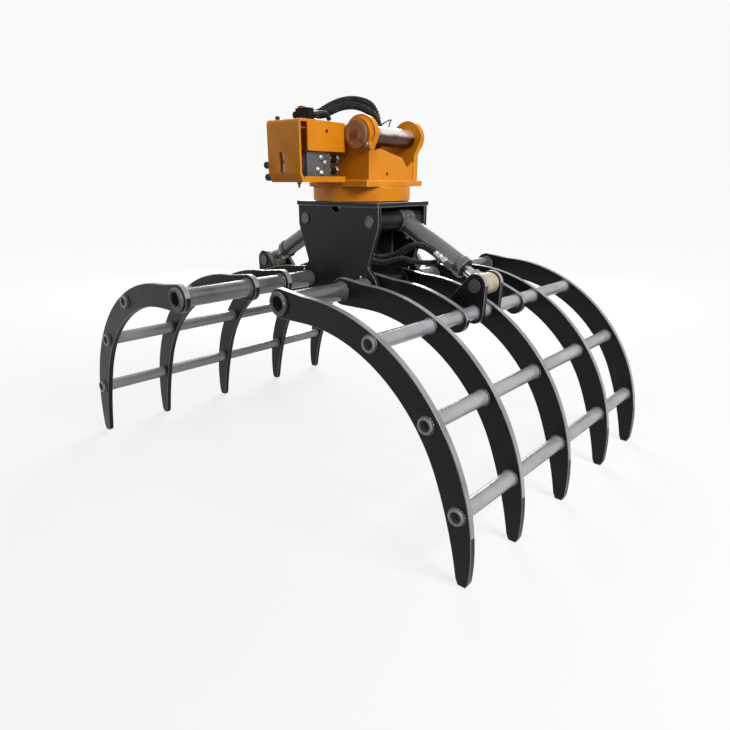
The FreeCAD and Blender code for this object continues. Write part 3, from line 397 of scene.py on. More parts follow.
# The bevels of black parts: rubbed paint, lightened further as a painted highlight along the edges.
edgeWearAndHighlightValues = dict(
    blackValues, colour=(0.24, 0.24, 0.25), shade=(0.09, 0.09, 0.095), specular=0.6, roughness=0.24, dustAndSheen=0.1,
)
# Weld beads: black paint lightened as a painted highlight on their ripples.
beadHighlightValues = dict(
    blackValues, colour=(0.05, 0.048, 0.054), shade=(0.09, 0.087, 0.094),
    specular=0.5, roughness=0.24, scuffs=0.2,
)
pinValues = {
    "colour": (0.60, 0.54, 0.49), "stain": (0.30, 0.18, 0.10), "fineness": 700.0, "stainSize": 22.0,
    "glossDrift": 0.2, "roughness": 0.22, "metal": 0.9, "bump": 0.00015,
}
# The head pin: bright bare steel whose lower side takes painted shade.
pinUndersideShadeValues = dict(
    pinValues, colour=(0.84, 0.78, 0.74), stain=(0.6, 0.5, 0.42), undersideShade=(0.075, 0.032, 0.015),
    metal=0.8, roughness=0.24,
)
rustyPinValues = dict(pinValues, colour=(0.30, 0.19, 0.13), stain=(0.14, 0.065, 0.03), roughness=0.3, metal=0.7)
dullPinValues = dict(
    pinValues, colour=(0.10, 0.088, 0.08), stain=(0.06, 0.045, 0.034), roughness=0.4, metal=0.6,
)
chromeValues = dict(
    pinValues, colour=(0.46, 0.46, 0.48), stain=(0.34, 0.34, 0.35), roughness=0.14, glossDrift=0.06,
)
gearValues = dict(pinValues, colour=(0.42, 0.42, 0.43), stain=(0.30, 0.29, 0.28), roughness=0.35)
blockValues = dict(
    pinValues, colour=(0.115, 0.12, 0.128), stain=(0.08, 0.082, 0.084), roughness=0.42, metal=0.6,
)
darkFittingValues = dict(
    blackValues, colour=(0.006, 0.005, 0.005), shade=(0.012, 0.010, 0.009),
    specular=0.05, roughness=0.45, dustAndSheen=0.04,
)
# Plated nuts, plugs and ferrules; their lower sides take painted shade.
brightValues = dict(
    pinValues, colour=(0.58, 0.58, 0.59), stain=(0.4, 0.39, 0.36), undersideShade=(0.2, 0.18, 0.17),
    metal=0.75, roughness=0.34,
)
# Yellow zinc plating; its lower sides take painted shade.
zincValues = dict(
    pinValues, colour=(0.72, 0.5, 0.2), stain=(0.5, 0.33, 0.12), undersideShade=(0.3, 0.17, 0.05),
    metal=0.7, roughness=0.28,
)
bronzeValues = dict(pinValues, colour=(0.62, 0.42, 0.18), stain=(0.40, 0.25, 0.1), roughness=0.35)
eyeValues = dict(pinValues, colour=(0.47, 0.39, 0.29), stain=(0.30, 0.22, 0.15), roughness=0.42, metal=0.35)
rubberValues = dict(
    blackValues, colour=(0.010, 0.010, 0.011), shade=(0.016, 0.016, 0.018),
    roughness=0.34, scuffs=0.12, dustAndSheen=0.1,
)
# The hose's rubber between the guard's turns, darkened further as painted shade in the grooves.
grooveShadeValues = dict(rubberValues, colour=(0.003, 0.003, 0.003), shade=(0.005, 0.005, 0.005), specular=0.03)
# The spiral guard's ridge tops are lightened by the dust amount, a painted glint along each turn.
guardValues = dict(
    rubberValues, colour=(0.014, 0.013, 0.013), shade=(0.075, 0.072, 0.072),
    specular=0.14, roughness=0.3, dustAndSheen=0.4,
)
capValues = dict(rubberValues, roughness=0.42)
redCapValues = dict(rubberValues, colour=(0.33, 0.075, 0.02), shade=(0.22, 0.05, 0.015), roughness=0.36)

finishes = {
    "yellow": paintedSteel("yellowPaint", yellowValues),
    # Bevels of yellow parts: a brighter yellow, a painted highlight along the edges.
    "yellowEdgeHighlight": paintedSteel("yellowEdgeHighlight", dict(yellowValues, colour=(0.86, 0.40, 0.05), dustAndSheen=0.05)),
    "black": paintedSteel("blackPaint", blackValues),
    "grey": paintedSteel("cylinderPaint", greyValues),
    "tube": paintedSteel("tubePaint", tubeValues),
    "edgeWearAndHighlight": paintedSteel("rubbedEdgeAndHighlight", edgeWearAndHighlightValues),
    "bead": paintedSteel("beadPaintWithHighlight", beadHighlightValues),
    "yellowBead": paintedSteel("yellowBead", dict(yellowValues, shade=(0.56, 0.18, 0.006), dustAndSheen=0.2)),
    "rustyPin": bareSteel("rustyPinFace", rustyPinValues),
    "dullPin": bareSteel("dullPinEnd", dullPinValues),
    "chrome": bareSteel("chromedRod", chromeValues),
    "gear": bareSteel("machinedSteel", gearValues),
    "block": bareSteel("valveSteel", blockValues),
    "darkFitting": paintedSteel("blackenedFitting", darkFittingValues),
    "bright": bareSteel("brightPlating", brightValues),
    "zinc": bareSteel("yellowZinc", zincValues),
    "bronze": bareSteel("bushBronze", bronzeValues),
    "eye": bareSteel("eyePrimer", eyeValues),
    "rubber": paintedSteel("hoseRubber", rubberValues),
    "guard": paintedSteel("spiralGuard", guardValues),
    "grooveShade": paintedSteel("guardGrooveShade", grooveShadeValues),
    "tineTopHighlight": paintedSteel("paintedTineTopHighlight", tineTopHighlightValues),
    "pinWithUndersideShade": bareSteel("pinWithUndersideShade", pinUndersideShadeValues),
    "cap": paintedSteel("capPlastic", capValues),
    "redCap": paintedSteel("redCapPlastic", redCapValues),
}
print("materials made:", len(finishes))

# Places on the turned head and along the tilted cylinders.

headValues = {"turn": 6.2, "pivotHeight": 0.823}
cylinderValues = {
    "basePin": (0.201, 1.102), "slope": 28.5477, "length": 0.5043, "y": {"right": 0.048, "left": -0.010},
    "shellRadius": 0.042, "eyeRadius": 0.045, "glandStart": 0.367, "glandEnd": 0.395,
    "rodRadius": 0.0225, "neckRadius": 0.0315, "rodEyeRadius": 0.044, "neckStart": 0.4423, "eyeStart": 0.455,
}


def onHead(points):
    # From the head's own axes, in millimetres above the jaw pivots, to metres in the frame.
    x, y, rise = np.moveaxis(np.asarray(points, float), -1, 0) / 1000
    turn = math.radians(headValues["turn"])
    return np.stack([x * math.cos(turn) - y * math.sin(turn), x * math.sin(turn) + y * math.cos(turn),
                     rise + headValues["pivotHeight"]], axis=-1)


def headWay(x, y, z):
    # A direction given in the head's own axes.
    turn = math.radians(headValues["turn"])
    return (x * math.cos(turn) - y * math.sin(turn), x * math.sin(turn) + y * math.cos(turn), z)


def onCylinder(side, along, across, beside):
    # Distances along, over and beside the axis of one cylinder, counted from its base pin.
    sign = 1 if side == "right" else -1
    slope = math.radians(cylinderValues["slope"])
    outX, outZ = cylinderValues["basePin"]
    along, across, beside = np.broadcast_arrays(along, across, beside)
    return np.stack([sign * (outX + along * math.cos(slope) + across * math.sin(slope)),
                     cylinderValues["y"][side] + beside,
                     outZ - along * math.sin(slope) + across * math.cos(slope)], axis=-1)


def cylinderWay(side):
    slope = math.radians(cylinderValues["slope"])
    return ((1 if side == "right" else -1) * math.cos(slope), 0, -math.sin(slope))


# Finished copies of the frame's nodes.

copyValues = {"mergeDistance": 0.00002, "flatAngle": 1.0, "sharpAngle": 32.0}
greyNodes = ("barrel", "gland", "pivot_tubes")
slotFinishes = {
    "pin_steel": "dullPin", "bush_bronze": "bronze", "rod_chrome": "chrome", "machined_steel": "gear",
    "block_steel": "block", "motor_paint": "cap", "cap_plastic": "cap", "hose_rubber": "rubber",
}
nodeFinishes = {"head_pin": "pinWithUndersideShade", "valve_fittings": "darkFitting"}


def finishFor(node):
    slot = slotOf[node]
    if slot == "yellow_paint":
        return "yellow", "yellowEdgeHighlight"
    if slot == "black_paint":
        body = "tube" if node.startswith("cross_tubes") else "grey" if node.startswith(greyNodes) else "black"
        return body, "edgeWearAndHighlight"
    plain = nodeFinishes.get(node, slotFinishes[slot])
    return plain, plain


def markRodEye(mesh, side):
    # Faces past the neck belong to the rod's eye, which keeps a tan primer.
    centres = np.empty(len(mesh.polygons) * 3)
    mesh.polygons.foreach_get("center", centres)
    start = onCylinder(side, 0.0, 0.0, 0.0)
    along = (centres.reshape(-1, 3) - start) @ np.array(cylinderWay(side))
    mesh.materials.append(finishes["eye"])
    onEye = along > cylinderValues["eyeStart"]
    mesh.polygons.foreach_set("material_index", np.where(onEye, 2, 0).astype(np.int32))


def markTineTopHighlight(mesh):
    # The rounded outer faces that look up are painted brighter than the tine's flat sides: a painted highlight
    # where they catch the light.
    facing = np.empty(len(mesh.polygons) * 3)
    mesh.polygons.foreach_get("normal", facing)
    facing = facing.reshape(-1, 3)
    mesh.materials.append(finishes["tineTopHighlight"])
    topSide = (np.abs(facing[:, 1]) < 0.5) & (facing[:, 2] > 0.1)
    mesh.polygons.foreach_set("material_index", np.where(topSide, 2, 0).astype(np.int32))


def edgedCopy(node, width):
    source = nodes[node]
    work = bmesh.new()
    work.from_mesh(source.data)
    bmesh.ops.remove_doubles(work, verts=work.verts, dist=copyValues["mergeDistance"])
    bmesh.ops.dissolve_limit(
        work, verts=work.verts, edges=work.edges, angle_limit=math.radians(copyValues["flatAngle"]),
    )
    mesh = bpy.data.meshes.new(node + "_edged")
    work.to_mesh(mesh)
    work.free()
    mesh.polygons.foreach_set("use_smooth", np.ones(len(mesh.polygons), bool))
    mesh.set_sharp_from_angle(angle=math.radians(copyValues["sharpAngle"]))
    for finish in finishFor(node):
        mesh.materials.append(finishes[finish])
    mesh.polygons.foreach_set("material_index", np.zeros(len(mesh.polygons), np.int32))
    if node.startswith("rod_"):
        markRodEye(mesh, node[4:])
    if node.startswith(("tine_", "arms_", "clevis_right", "clevis_left")):
        markTineTopHighlight(mesh)
    piece = bpy.data.objects.new(node + "_edged", mesh)
    bpy.context.scene.collection.objects.link(piece)
    bevel = piece.modifiers.new("roundedEdge", "BEVEL")
    bevel.width = width
    bevel.segments = 2
    bevel.limit_method = "ANGLE"
    bevel.angle_limit = math.radians(copyValues["sharpAngle"])
    # The bevel's faces take the node's second material; on painted nodes it is lighter, a painted edge
    # highlight.
    bevel.material = 1
    bevel.harden_normals = True
    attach(piece, bodyOf[node])
    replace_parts(piece, node)


edgeWidths = {
    "tine_": 0.0024, "arms_": 0.0024, "clevis_left": 0.002, "clevis_right": 0.002, "frame_front": 0.0025,
    "frame_rear": 0.0025, "frame_top": 0.003, "head_base": 0.003, "near_ear": 0.003, "far_ear": 0.003,
    "front_cross": 0.002, "rear_cross": 0.002, "guard_box": 0.002, "guard_side": 0.002, "slew_housing": 0.002,
    "valve_block": 0.0015, "valve_fittings": 0.0012, "barrel_": 0.0015, "gland_": 0.0015, "cross_tubes": 0.001,
    "pivot_tubes": 0.0015, "head_pin": 0.002, "cylinder_base": 0.002, "clevis_pin": 0.0015, "rod_": 0.0015,
    "hose_outlets": 0.002, "hub_": 0.0015, "slew_motor": 0.002,
}
redrawn = ("slew_bolts", "head_hoses", "cylinder_hose")
copyCount = 0
for node in sorted(nodes):
    widths = [width for start, width in edgeWidths.items() if node.startswith(start)]
    if widths:
        edgedCopy(node, widths[0])
        copyCount += 1
        continue
    if node not in redrawn:
        nodes[node].data.materials.clear()
        nodes[node].data.materials.append(finishes[finishFor(node)[0]])
print("finished copies:", copyCount)

# Surfaces worked out on grids.


def gridMesh(name, points, closedAlong=True):
    # points is an array (along, across, 3), closed across; each cell of the grid becomes one four-sided face.
    rows, columns = points.shape[:2]
    index = np.arange(rows * columns).reshape(rows, columns)
    lastRow = rows if closedAlong else rows - 1
    a = index[:lastRow]
    b = np.roll(index, -1, axis=1)[:lastRow]
    c = np.roll(np.roll(index, -1, axis=0), -1, axis=1)[:lastRow]
    d = np.roll(index, -1, axis=0)[:lastRow]
    faces = np.stack([a, d, c, b], axis=-1).reshape(-1, 4)
    mesh = bpy.data.meshes.new(name)
    mesh.from_pydata(points.reshape(-1, 3).tolist(), [], faces.tolist())
    return mesh


def joinMeshes(name, meshes, finish, body=None, second=None):
    # Makes one piece; rows of no width close into poles and every shell is turned outward.
    work = bmesh.new()
    for mesh in meshes:
        work.from_mesh(mesh)
        bpy.data.meshes.remove(mesh)
    bmesh.ops.remove_doubles(work, verts=work.verts, dist=1e-6)
    bmesh.ops.recalc_face_normals(work, faces=work.faces)
    joined = bpy.data.meshes.new(name)
    work.to_mesh(joined)
    work.free()
    joined.polygons.foreach_set("use_smooth", np.ones(len(joined.polygons), bool))
    joined.set_sharp_from_angle(angle=math.radians(40))
    for word in (finish, second) if second else (finish,):
        joined.materials.append(finishes[word])
    piece = bpy.data.objects.new(name, joined)
    bpy.context.scene.collection.objects.link(piece)
    if body:
        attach(piece, body)
    return piece


def axesAlong(way):
    way = np.array(way, float)
    way /= np.linalg.norm(way)
    side = np.cross((0.0, 0.0, 1.0) if abs(way[2]) < 0.9 else (1.0, 0.0, 0.0), way)
    side /= np.linalg.norm(side)
    return way, side, np.cross(way, side)


def spun(profile, place, way, around=24, closed=False):
    # Rows of the profile are (distance along the way, radius, sides); a row with sides is a hexagon.
    rows = [(*row, 0) if len(row) == 2 else row for row in profile]
    along, radius, sides = np.array(rows, float).T[..., None]
    angle = np.linspace(0, 2 * np.pi, around, endpoint=False)[None, :]
    hexagon = math.cos(math.pi / 6) / np.cos(np.mod(angle, math.pi / 3) - math.pi / 6)
    reach = radius * np.where(sides > 0, hexagon, 1.0)
    way, side, up = axesAlong(way)
    points = (np.array(place) + along[..., None] * way + (reach * np.cos(angle))[..., None] * side
              + (reach * np.sin(angle))[..., None] * up)
    return gridMesh("spun", points, closedAlong=closed)


def tubeRound(line, thick, reference, closed=False):
    # Point = line + thickness × (cos angle × side + sin angle × up), square to the line at each row.
    along = np.roll(line, -1, axis=0) - np.roll(line, 1, axis=0) if closed else np.gradient(line, axis=0)
    along /= np.linalg.norm(along, axis=1, keepdims=True)
    side = np.cross(along, np.array(reference, float))
    side /= np.linalg.norm(side, axis=1, keepdims=True)
    up = np.cross(side, along)
    angle = np.linspace(0, 2 * np.pi, thick.shape[1], endpoint=False)[None, :, None]
    outward = np.cos(angle) * side[:, None, :] + np.sin(angle) * up[:, None, :]
    return line[:, None, :] + thick[..., None] * outward


# Weld beads.

beadValues = {
    "width": 0.0052, "across": 8, "pitch": 0.0075, "depth": 0.16, "wander": 0.12, "samplesPerRipple": 3,
}


def bead(line, reference, closed, values, turn=0.0):
    # Thickness = width × (1 + ripple of the welder's pitch) × (1 + slow wander), drawn in at open ends.
    steps = np.linalg.norm(np.diff(line, axis=0), axis=1)
    distance = np.concatenate([[0], np.cumsum(steps)])[:, None]
    whole = distance[-1, 0] + (np.linalg.norm(line[0] - line[-1]) if closed else 0)
    count = max(round(whole / values["pitch"]), 3)
    phase = 2 * np.pi * distance / whole
    thick = values["width"] * (1 + values["depth"] * np.sin(count * phase + turn))
    thick = thick * (1 + values["wander"] * np.sin(3 * phase + 2.1 * turn))
    if not closed:
        ends = np.minimum(distance, whole - distance) / values["width"]
        thick = thick * np.sqrt(np.clip(ends, 0, 1))
    return gridMesh("bead", tubeRound(line, np.repeat(thick, values["across"], axis=1), reference, closed),
                    closedAlong=closed)


def beadRing(place, way, radius, turn=0.0):
    way, side, up = axesAlong(way)
    count = max(round(2 * math.pi * radius / beadValues["pitch"]), 6) * beadValues["samplesPerRipple"]
    angle = np.linspace(0, 2 * np.pi, count, endpoint=False)[:, None]
    line = np.array(place) + radius * (np.cos(angle) * side + np.sin(angle) * up)
    return bead(line, way, True, beadValues, turn)


def beadRun(start, end, turn=0.0):
    start, end = np.array(start, float), np.array(end, float)
    length = np.linalg.norm(end - start)
    count = max(int(beadValues["samplesPerRipple"] * length / beadValues["pitch"]), 8)
    part = np.linspace(0, 1, count)[:, None]
    return bead(start + part * (end - start), axesAlong(end - start)[1], False, beadValues, turn)


jawValues = {
    "pivotOut": 0.182, "pivotHeight": 0.823, "shift": 0.108, "plate": 0.025,
    "upperTube": (0.462, -0.073), "otherTubes": ((0.704, -0.296), (0.836, -0.572)),
    "tubeRadius": 0.0285, "pivotTubeRadius": 0.038, "hubRadius": 0.044,
    "arms": (-0.236, 0.230), "clevisHalf": 0.061, "clevisPlate": 0.022, "collars": (-0.7815, -0.3955, 0.3675),
}


def weldJaw(side, values):
    sign = 1 if side == "right" else -1
    shift = sign * values["shift"]
    pivot = (sign * values["pivotOut"], values["pivotHeight"])
    upper = (pivot[0] + sign * values["upperTube"][0], pivot[1] + values["upperTube"][1], values["tubeRadius"])
    others = [
        (pivot[0] + sign * out, pivot[1] + rise, values["tubeRadius"]) for out, rise in values["otherTubes"]
    ]
    rings = []
    for number in range(1, 6):
        low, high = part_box("tine_%s_%d" % (side, number))
        bore = values["hubRadius"] if number == 3 else values["pivotTubeRadius"]
        rings += [(spot, y) for spot in ((*pivot, bore), upper, *others) for y in (low.y, high.y)]
    for place in values["arms"]:
        onHub = (place < 0) == (side == "right")
        bore = values["hubRadius"] if onHub else values["pivotTubeRadius"]
        faces = [shift + place + half * values["plate"] / 2 for half in (-1, 1)]
        rings += [(spot, y) for spot in ((*pivot, bore), upper) for y in faces]
    for place in (-values["clevisHalf"], values["clevisHalf"]):
        faces = [cylinderValues["y"][side] + place + half * values["clevisPlate"] / 2 for half in (-1, 1)]
        rings += [(upper, y) for y in faces]
    rings += [((*pivot, values["pivotTubeRadius"]), shift + y) for y in values["collars"]]
    meshes = [beadRing((x, y, z), (0, 1, 0), radius, turn=x * 31 + y * 17) for (x, z, radius), y in rings]
    joinMeshes("jaw_welds_" + side, meshes, "bead", "jaw_" + side)


def weldCylinder(side, values):
    # The eye's round side meets the shell where along = √(eye radius² − (shell radius × sin angle)²).
    angle = np.linspace(0, 2 * np.pi, 96, endpoint=False)
    across, beside = values["shellRadius"] * np.sin(angle), values["shellRadius"] * np.cos(angle)
    saddle = onCylinder(side, np.sqrt(values["eyeRadius"] ** 2 - across ** 2), across, beside)
    gland = beadRing(onCylinder(side, values["glandStart"], 0.0, 0.0), cylinderWay(side), values["shellRadius"])
    joinMeshes("barrel_welds_" + side, [bead(saddle, cylinderWay(side), True, beadValues), gland],
               "bead", "barrel_" + side)
    across, beside = values["neckRadius"] * np.sin(angle), values["neckRadius"] * np.cos(angle)
    along = values["length"] - np.sqrt(values["rodEyeRadius"] ** 2 - across ** 2)
    neck = bead(onCylinder(side, along, across, beside), cylinderWay(side), True, beadValues)
    joinMeshes("rod_welds_" + side, [neck], "eye", "rod_" + side)
    lip = spun(((0.0, 0.0232), (0.0, 0.037), (0.003, 0.036), (0.005, 0.028), (0.004, 0.0232)),
               onCylinder(side, values["glandEnd"], 0.0, 0.0), cylinderWay(side), around=40, closed=True)
    joinMeshes("wiper_" + side, [lip], "cap", "barrel_" + side)


frameWeldValues = {
    "plateInner": 0.150, "plateOuter": 0.170, "underTop": 1.161, "shoulder": 0.246, "notch": 0.031,
    "webOut": (0.062, 0.046), "webFoot": 0.909,
}


def weldFrame(values):
    runs = []
    for y in (-values["plateOuter"], -values["plateInner"], values["plateInner"], values["plateOuter"]):
        for sign in (-1, 1):
            start = (sign * values["notch"], y, values["underTop"])
            runs.append((start, (sign * values["shoulder"], y, values["underTop"])))
    for y in (-values["plateInner"], values["plateInner"]):
        for x in values["webOut"]:
            runs += [((sign * x, y, values["webFoot"]), (sign * x, y, values["underTop"])) for sign in (-1, 1)]
    for x in values["webOut"]:
        runs += [((sign * x, -values["plateInner"], values["underTop"]),
                  (sign * x, values["plateInner"], values["underTop"])) for sign in (-1, 1)]
    meshes = [beadRun(start, end, turn=number * 1.3) for number, (start, end) in enumerate(runs)]
    joinMeshes("frame_welds", meshes, "bead", "frame")


headWeldValues = {
    "baseTop": 446, "earInner": 164, "earOuter": 194, "earHalfWidth": 180, "crossFaces": (172, 156),
    "crossTop": 527, "boss": (135, 626, 64), "housing": (222, 421),
}


def weldHead(values):
    low, inner, outer = values["baseTop"], values["earInner"], values["earOuter"]
    half = values["earHalfWidth"]
    runs = [((-half, y, low), (half, y, low)) for y in (-outer, -inner, inner, outer)]
    for x in values["crossFaces"]:
        for sign in (-1, 1):
            runs.append(((sign * x, -inner, low), (sign * x, inner, low)))
            runs += [((sign * x, y, low), (sign * x, y, values["crossTop"])) for y in (-inner, inner)]
    meshes = [beadRun(*onHead((start, end)), turn=number * 1.3) for number, (start, end) in enumerate(runs)]
    out, rise, radius = values["boss"]
    for y in (-outer, outer):
        for x in (-out, out):
            meshes.append(beadRing(onHead((x, y, rise)), headWay(0, 1, 0), radius / 1000, turn=x + y))
    joinMeshes("head_welds", meshes, "yellowBead", "head")


for side in ("right", "left"):
    weldJaw(side, jawValues)
    weldCylinder(side, cylinderValues)
weldFrame(frameWeldValues)
weldHead(headWeldValues)
print("weld beads laid")

# Hoses.


def routeLine(points, step):
    # A smooth line held by the route's points, read back and spaced evenly along its length.
    curve = bpy.data.curves.new("route", "CURVE")
    curve.dimensions = "3D"
    spline = curve.splines.new("NURBS")
    spline.points.add(len(points) - 1)
    for point, place in zip(spline.points, points):
        point.co = (*place, 1)
    spline.order_u = 3
    spline.use_endpoint_u = True
    spline.resolution_u = 24
    holder = bpy.data.objects.new("route", curve)
    mesh = bpy.data.meshes.new_from_object(holder)
    line = np.empty(len(mesh.vertices) * 3)
    mesh.vertices.foreach_get("co", line)
    line = line.reshape(-1, 3)
    bpy.data.objects.remove(holder)
    bpy.data.curves.remove(curve)
    bpy.data.meshes.remove(mesh)
    lengths = np.concatenate([[0], np.cumsum(np.linalg.norm(np.diff(line, axis=0), axis=1))])
    places = np.linspace(0, lengths[-1], int(lengths[-1] / step))
    return np.stack([np.interp(places, lengths, line[:, k]) for k in range(3)], axis=-1), places


hoseValues = {
    "radius": 0.0122, "pitch": 0.0135, "band": 0.0034, "around": 24, "step": 0.0016,
    "ridgeStart": 0.55, "ridgeSlope": 0.2,
}


def wrappedHose(route, values, reference):
    # Radius = hose radius + band height where a helix of the given pitch passes; the ends are closed.
    # Faces between two turns of the helix take the second, darker material: the hose's black rubber, darkened
    # further as painted shade in the grooves.
    line, distance = routeLine(route, values["step"])
    angle = np.linspace(0, 2 * np.pi, values["around"], endpoint=False)[None, :]
    wave = 0.5 + 0.5 * np.cos(2 * np.pi * distance[:, None] / values["pitch"] - angle)
    ridge = np.clip((wave - values["ridgeStart"]) / values["ridgeSlope"], 0, 1)
    thick = values["radius"] + values["band"] * ridge
    thick[[0, -1]] = 0
    mesh = gridMesh("hose", tubeRound(line, thick, reference), closedAlong=False)
    mesh.polygons.foreach_set("material_index", (ridge[:-1] < 0.5).astype(np.int32).ravel())
    return mesh


def plainTube(route, radius, reference, around=14, step=0.004):
    line = routeLine(route, step)[0]
    thick = np.full((len(line), around), radius)
    thick[[0, -1]] = 0
    return gridMesh("tube", tubeRound(line, thick, reference), closedAlong=False)


headHoseRoutes = (
    [(8, -351.7, 700), (8, -310, 700), (11, -245, 734), (14, -175, 760), (18, -95, 777), (21, -10, 777),
     (23, 43, 766), (25, 77, 736), (26, 93, 700), (25, 93, 660), (19, 72, 606), (10, 42, 549), (10, 42, 500.3)],
    [(36, -351.7, 695), (36, -310, 695), (37, -250, 720), (39, -185, 740), (42, -115, 750), (45, -45, 745),
     (47, 12, 729), (49, 47, 706), (50, 67, 675), (50, 73, 640), (48, 63, 598), (42, 34, 547), (42, 34, 500.3)],
)
headHoses = joinMeshes("head_hoses_wrapped", [
    wrappedHose(onHead(route), hoseValues, headWay(1, 0, 0.02)) for route in headHoseRoutes
], "guard", "head", second="grooveShade")
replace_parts(headHoses, "head_hoses")

# The barrel's hoses start on the frame's web and end at fittings on the right barrel.
barrelHoseValues = {
    "webFace": 0.062, "beside": -0.060, "bendEnd": 0.232, "ferruleStart": 0.2656,
    "lowerStart": (0.439, -0.006, 0.938), "lowerWay": (0.45, 0.85, 0.35),
    "webSpots": ((-0.012, 0.930), (-0.044, 0.925)),
}
upperBarrelRoute = [
    (0.084, -0.012, 0.930), (0.144, -0.012, 0.930), (0.226, -0.012, 0.952), (0.294, -0.012, 0.992),
    (0.352, -0.012, 1.006),
    tuple(onCylinder("right", barrelHoseValues["bendEnd"], 0.0, barrelHoseValues["beside"])),
    tuple(onCylinder("right", barrelHoseValues["ferruleStart"] + 0.002, 0.0, barrelHoseValues["beside"])),
]
lowerBarrelRoute = [
    (0.084, -0.044, 0.925), (0.150, -0.044, 0.912), (0.210, -0.040, 0.925), (0.266, -0.032, 0.946),
    (0.322, -0.024, 0.933), (0.377, -0.018, 0.930), (0.425, -0.008, 0.934), (0.447, 0.010, 0.944),
]
upperHose = joinMeshes("barrel_hose_upper", [wrappedHose(upperBarrelRoute, hoseValues, (0, 1, 0.02))],
                       "guard", second="grooveShade")
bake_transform(upperHose)
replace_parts(upperHose, "cylinder_hose")
lowerHose = joinMeshes("barrel_hose_lower", [
    wrappedHose(lowerBarrelRoute, dict(hoseValues, radius=0.0095, pitch=0.010, band=0.0024), (0.15, 1, 0.3)),
], "guard", second="grooveShade")
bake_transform(lowerHose)

# A pressed ferrule: collar, two crimped bands, then the hexagon of its nut.
ferruleProfile = (
    (0, 0), (0, 0.0135), (0.002, 0.0155), (0.010, 0.0158), (0.012, 0.0142), (0.022, 0.0142), (0.024, 0.0158),
    (0.034, 0.0158), (0.036, 0.014), (0.044, 0.0135), (0.046, 0.0168, 6), (0.062, 0.0168, 6), (0.064, 0.0135),
    (0.070, 0.0135), (0.070, 0),
)
shortFerruleProfile = tuple((row[0] * 0.45, *row[1:]) for row in ferruleProfile)
smallFerruleProfile = (
    (0, 0), (0, 0.011), (0.004, 0.012), (0.006, 0.012), (0.006, 0.0145, 6), (0.014, 0.0145, 6), (0.014, 0),
)
barrelFittings = [
    spun(ferruleProfile, onCylinder("right", barrelHoseValues["ferruleStart"], 0.0, barrelHoseValues["beside"]),
         cylinderWay("right")),
    spun(smallFerruleProfile, barrelHoseValues["lowerStart"], barrelHoseValues["lowerWay"]),
]
joinMeshes("barrel_fittings", barrelFittings, "bright", "barrel_right")
webFittings = [
    spun(shortFerruleProfile, (barrelHoseValues["webFace"] + 0.031, y, z), (-1, 0, 0))
    for y, z in barrelHoseValues["webSpots"]
]
joinMeshes("web_fittings", webFittings, "bright", "frame")
print("hoses laid")

# Bolts, plugs, caps and lines.

boltValues = {"circle": 0.140, "count": 8, "underTop": 1.161}
boltProfile = (
    (0, 0), (0, 0.0178), (0.0025, 0.0178), (0.0025, 0.0145, 6), (0.0105, 0.0145, 6), (0.012, 0.0125),
    (0.012, 0),
)
bolts = []
for number in range(boltValues["count"]):
    angle = 2 * math.pi * number / boltValues["count"]
    x, y = boltValues["circle"] * math.cos(angle), boltValues["circle"] * math.sin(angle)
    bolts.append(spun(boltProfile, (x, y, boltValues["underTop"]), (0, 0, -1)))
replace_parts(joinMeshes("slew_bolt_heads", bolts, "bright", "frame"), "slew_bolts")

portValues = {"faceX": 60, "start": -440, "floor": 450, "spots": ((85, 82), (109, 63), (65, 36), (86, 24))}
plugProfile = (
    (-0.006, 0), (-0.006, 0.0085), (0, 0.0085), (0, 0.0125), (0.002, 0.0125), (0.003, 0.0105), (0.006, 0.009),
    (0.0078, 0.006), (0.0082, 0.0042, 6), (0.006, 0.004, 6), (0.006, 0),
)
plugs = [
    spun(plugProfile, onHead((portValues["faceX"], portValues["start"] + along, portValues["floor"] + up)),
         headWay(1, 0, 0))
    for along, up in portValues["spots"]
]
joinMeshes("port_plugs", plugs, "bright", "head")

# Places on the head, in its own axes and millimetres, of what is bought in and screwed on.
fittingPlaces = {
    "zincNuts": ((36, -297, 532), (34, -297, 486)), "brightNuts": ((36, -243, 532), (34, -243, 486)),
    "hoseEnds": ((8, -352, 700), (36, -352, 695)), "redCap": (8, -403, 714), "knob": (-12, -403, 692),
    "boxPlug": (-60, -470, 670), "boxFitting": (-58, -452, 450), "boxStud": (46, -474, 440),
}
nutProfile = ((0, 0), (0, 0.016), (0.001, 0.019, 6), (0.015, 0.019, 6), (0.016, 0.016), (0.016, 0))
zincNuts = [spun(nutProfile, onHead(spot), headWay(0, 1, 0)) for spot in fittingPlaces["zincNuts"]]
joinMeshes("zinc_nuts", zincNuts, "zinc", "head")
brightNuts = [spun(nutProfile, onHead(spot), headWay(0, 1, 0)) for spot in fittingPlaces["brightNuts"]]
brightNuts += [
    spun(shortFerruleProfile, onHead(spot), headWay(0, -1, 0)) for spot in fittingPlaces["hoseEnds"]
]
joinMeshes("bright_nuts", brightNuts, "bright", "head")

capProfile = ((0, 0), (0, 0.017), (0.005, 0.017), (0.008, 0.014), (0.0095, 0.008), (0.010, 0))
joinMeshes("red_port_cap", [spun(capProfile, onHead(fittingPlaces["redCap"]), (0, 0, 1))],
           "redCap", "head")
knobProfile = ((0, 0), (0, 0.010), (0.006, 0.010), (0.007, 0.014), (0.018, 0.014), (0.021, 0.011), (0.022, 0))
joinMeshes("black_port_knob", [spun(knobProfile, onHead(fittingPlaces["knob"]), headWay(-1, 0, 0))],
           "cap", "head")

grommetProfile = ((-0.002, 0), (-0.002, 0.009), (0.011, 0.009), (0.014, 0.0065), (0.0145, 0))
joinMeshes("box_top_plug", [spun(grommetProfile, onHead(fittingPlaces["boxPlug"]), (0, 0, 1))],
           "cap", "head")

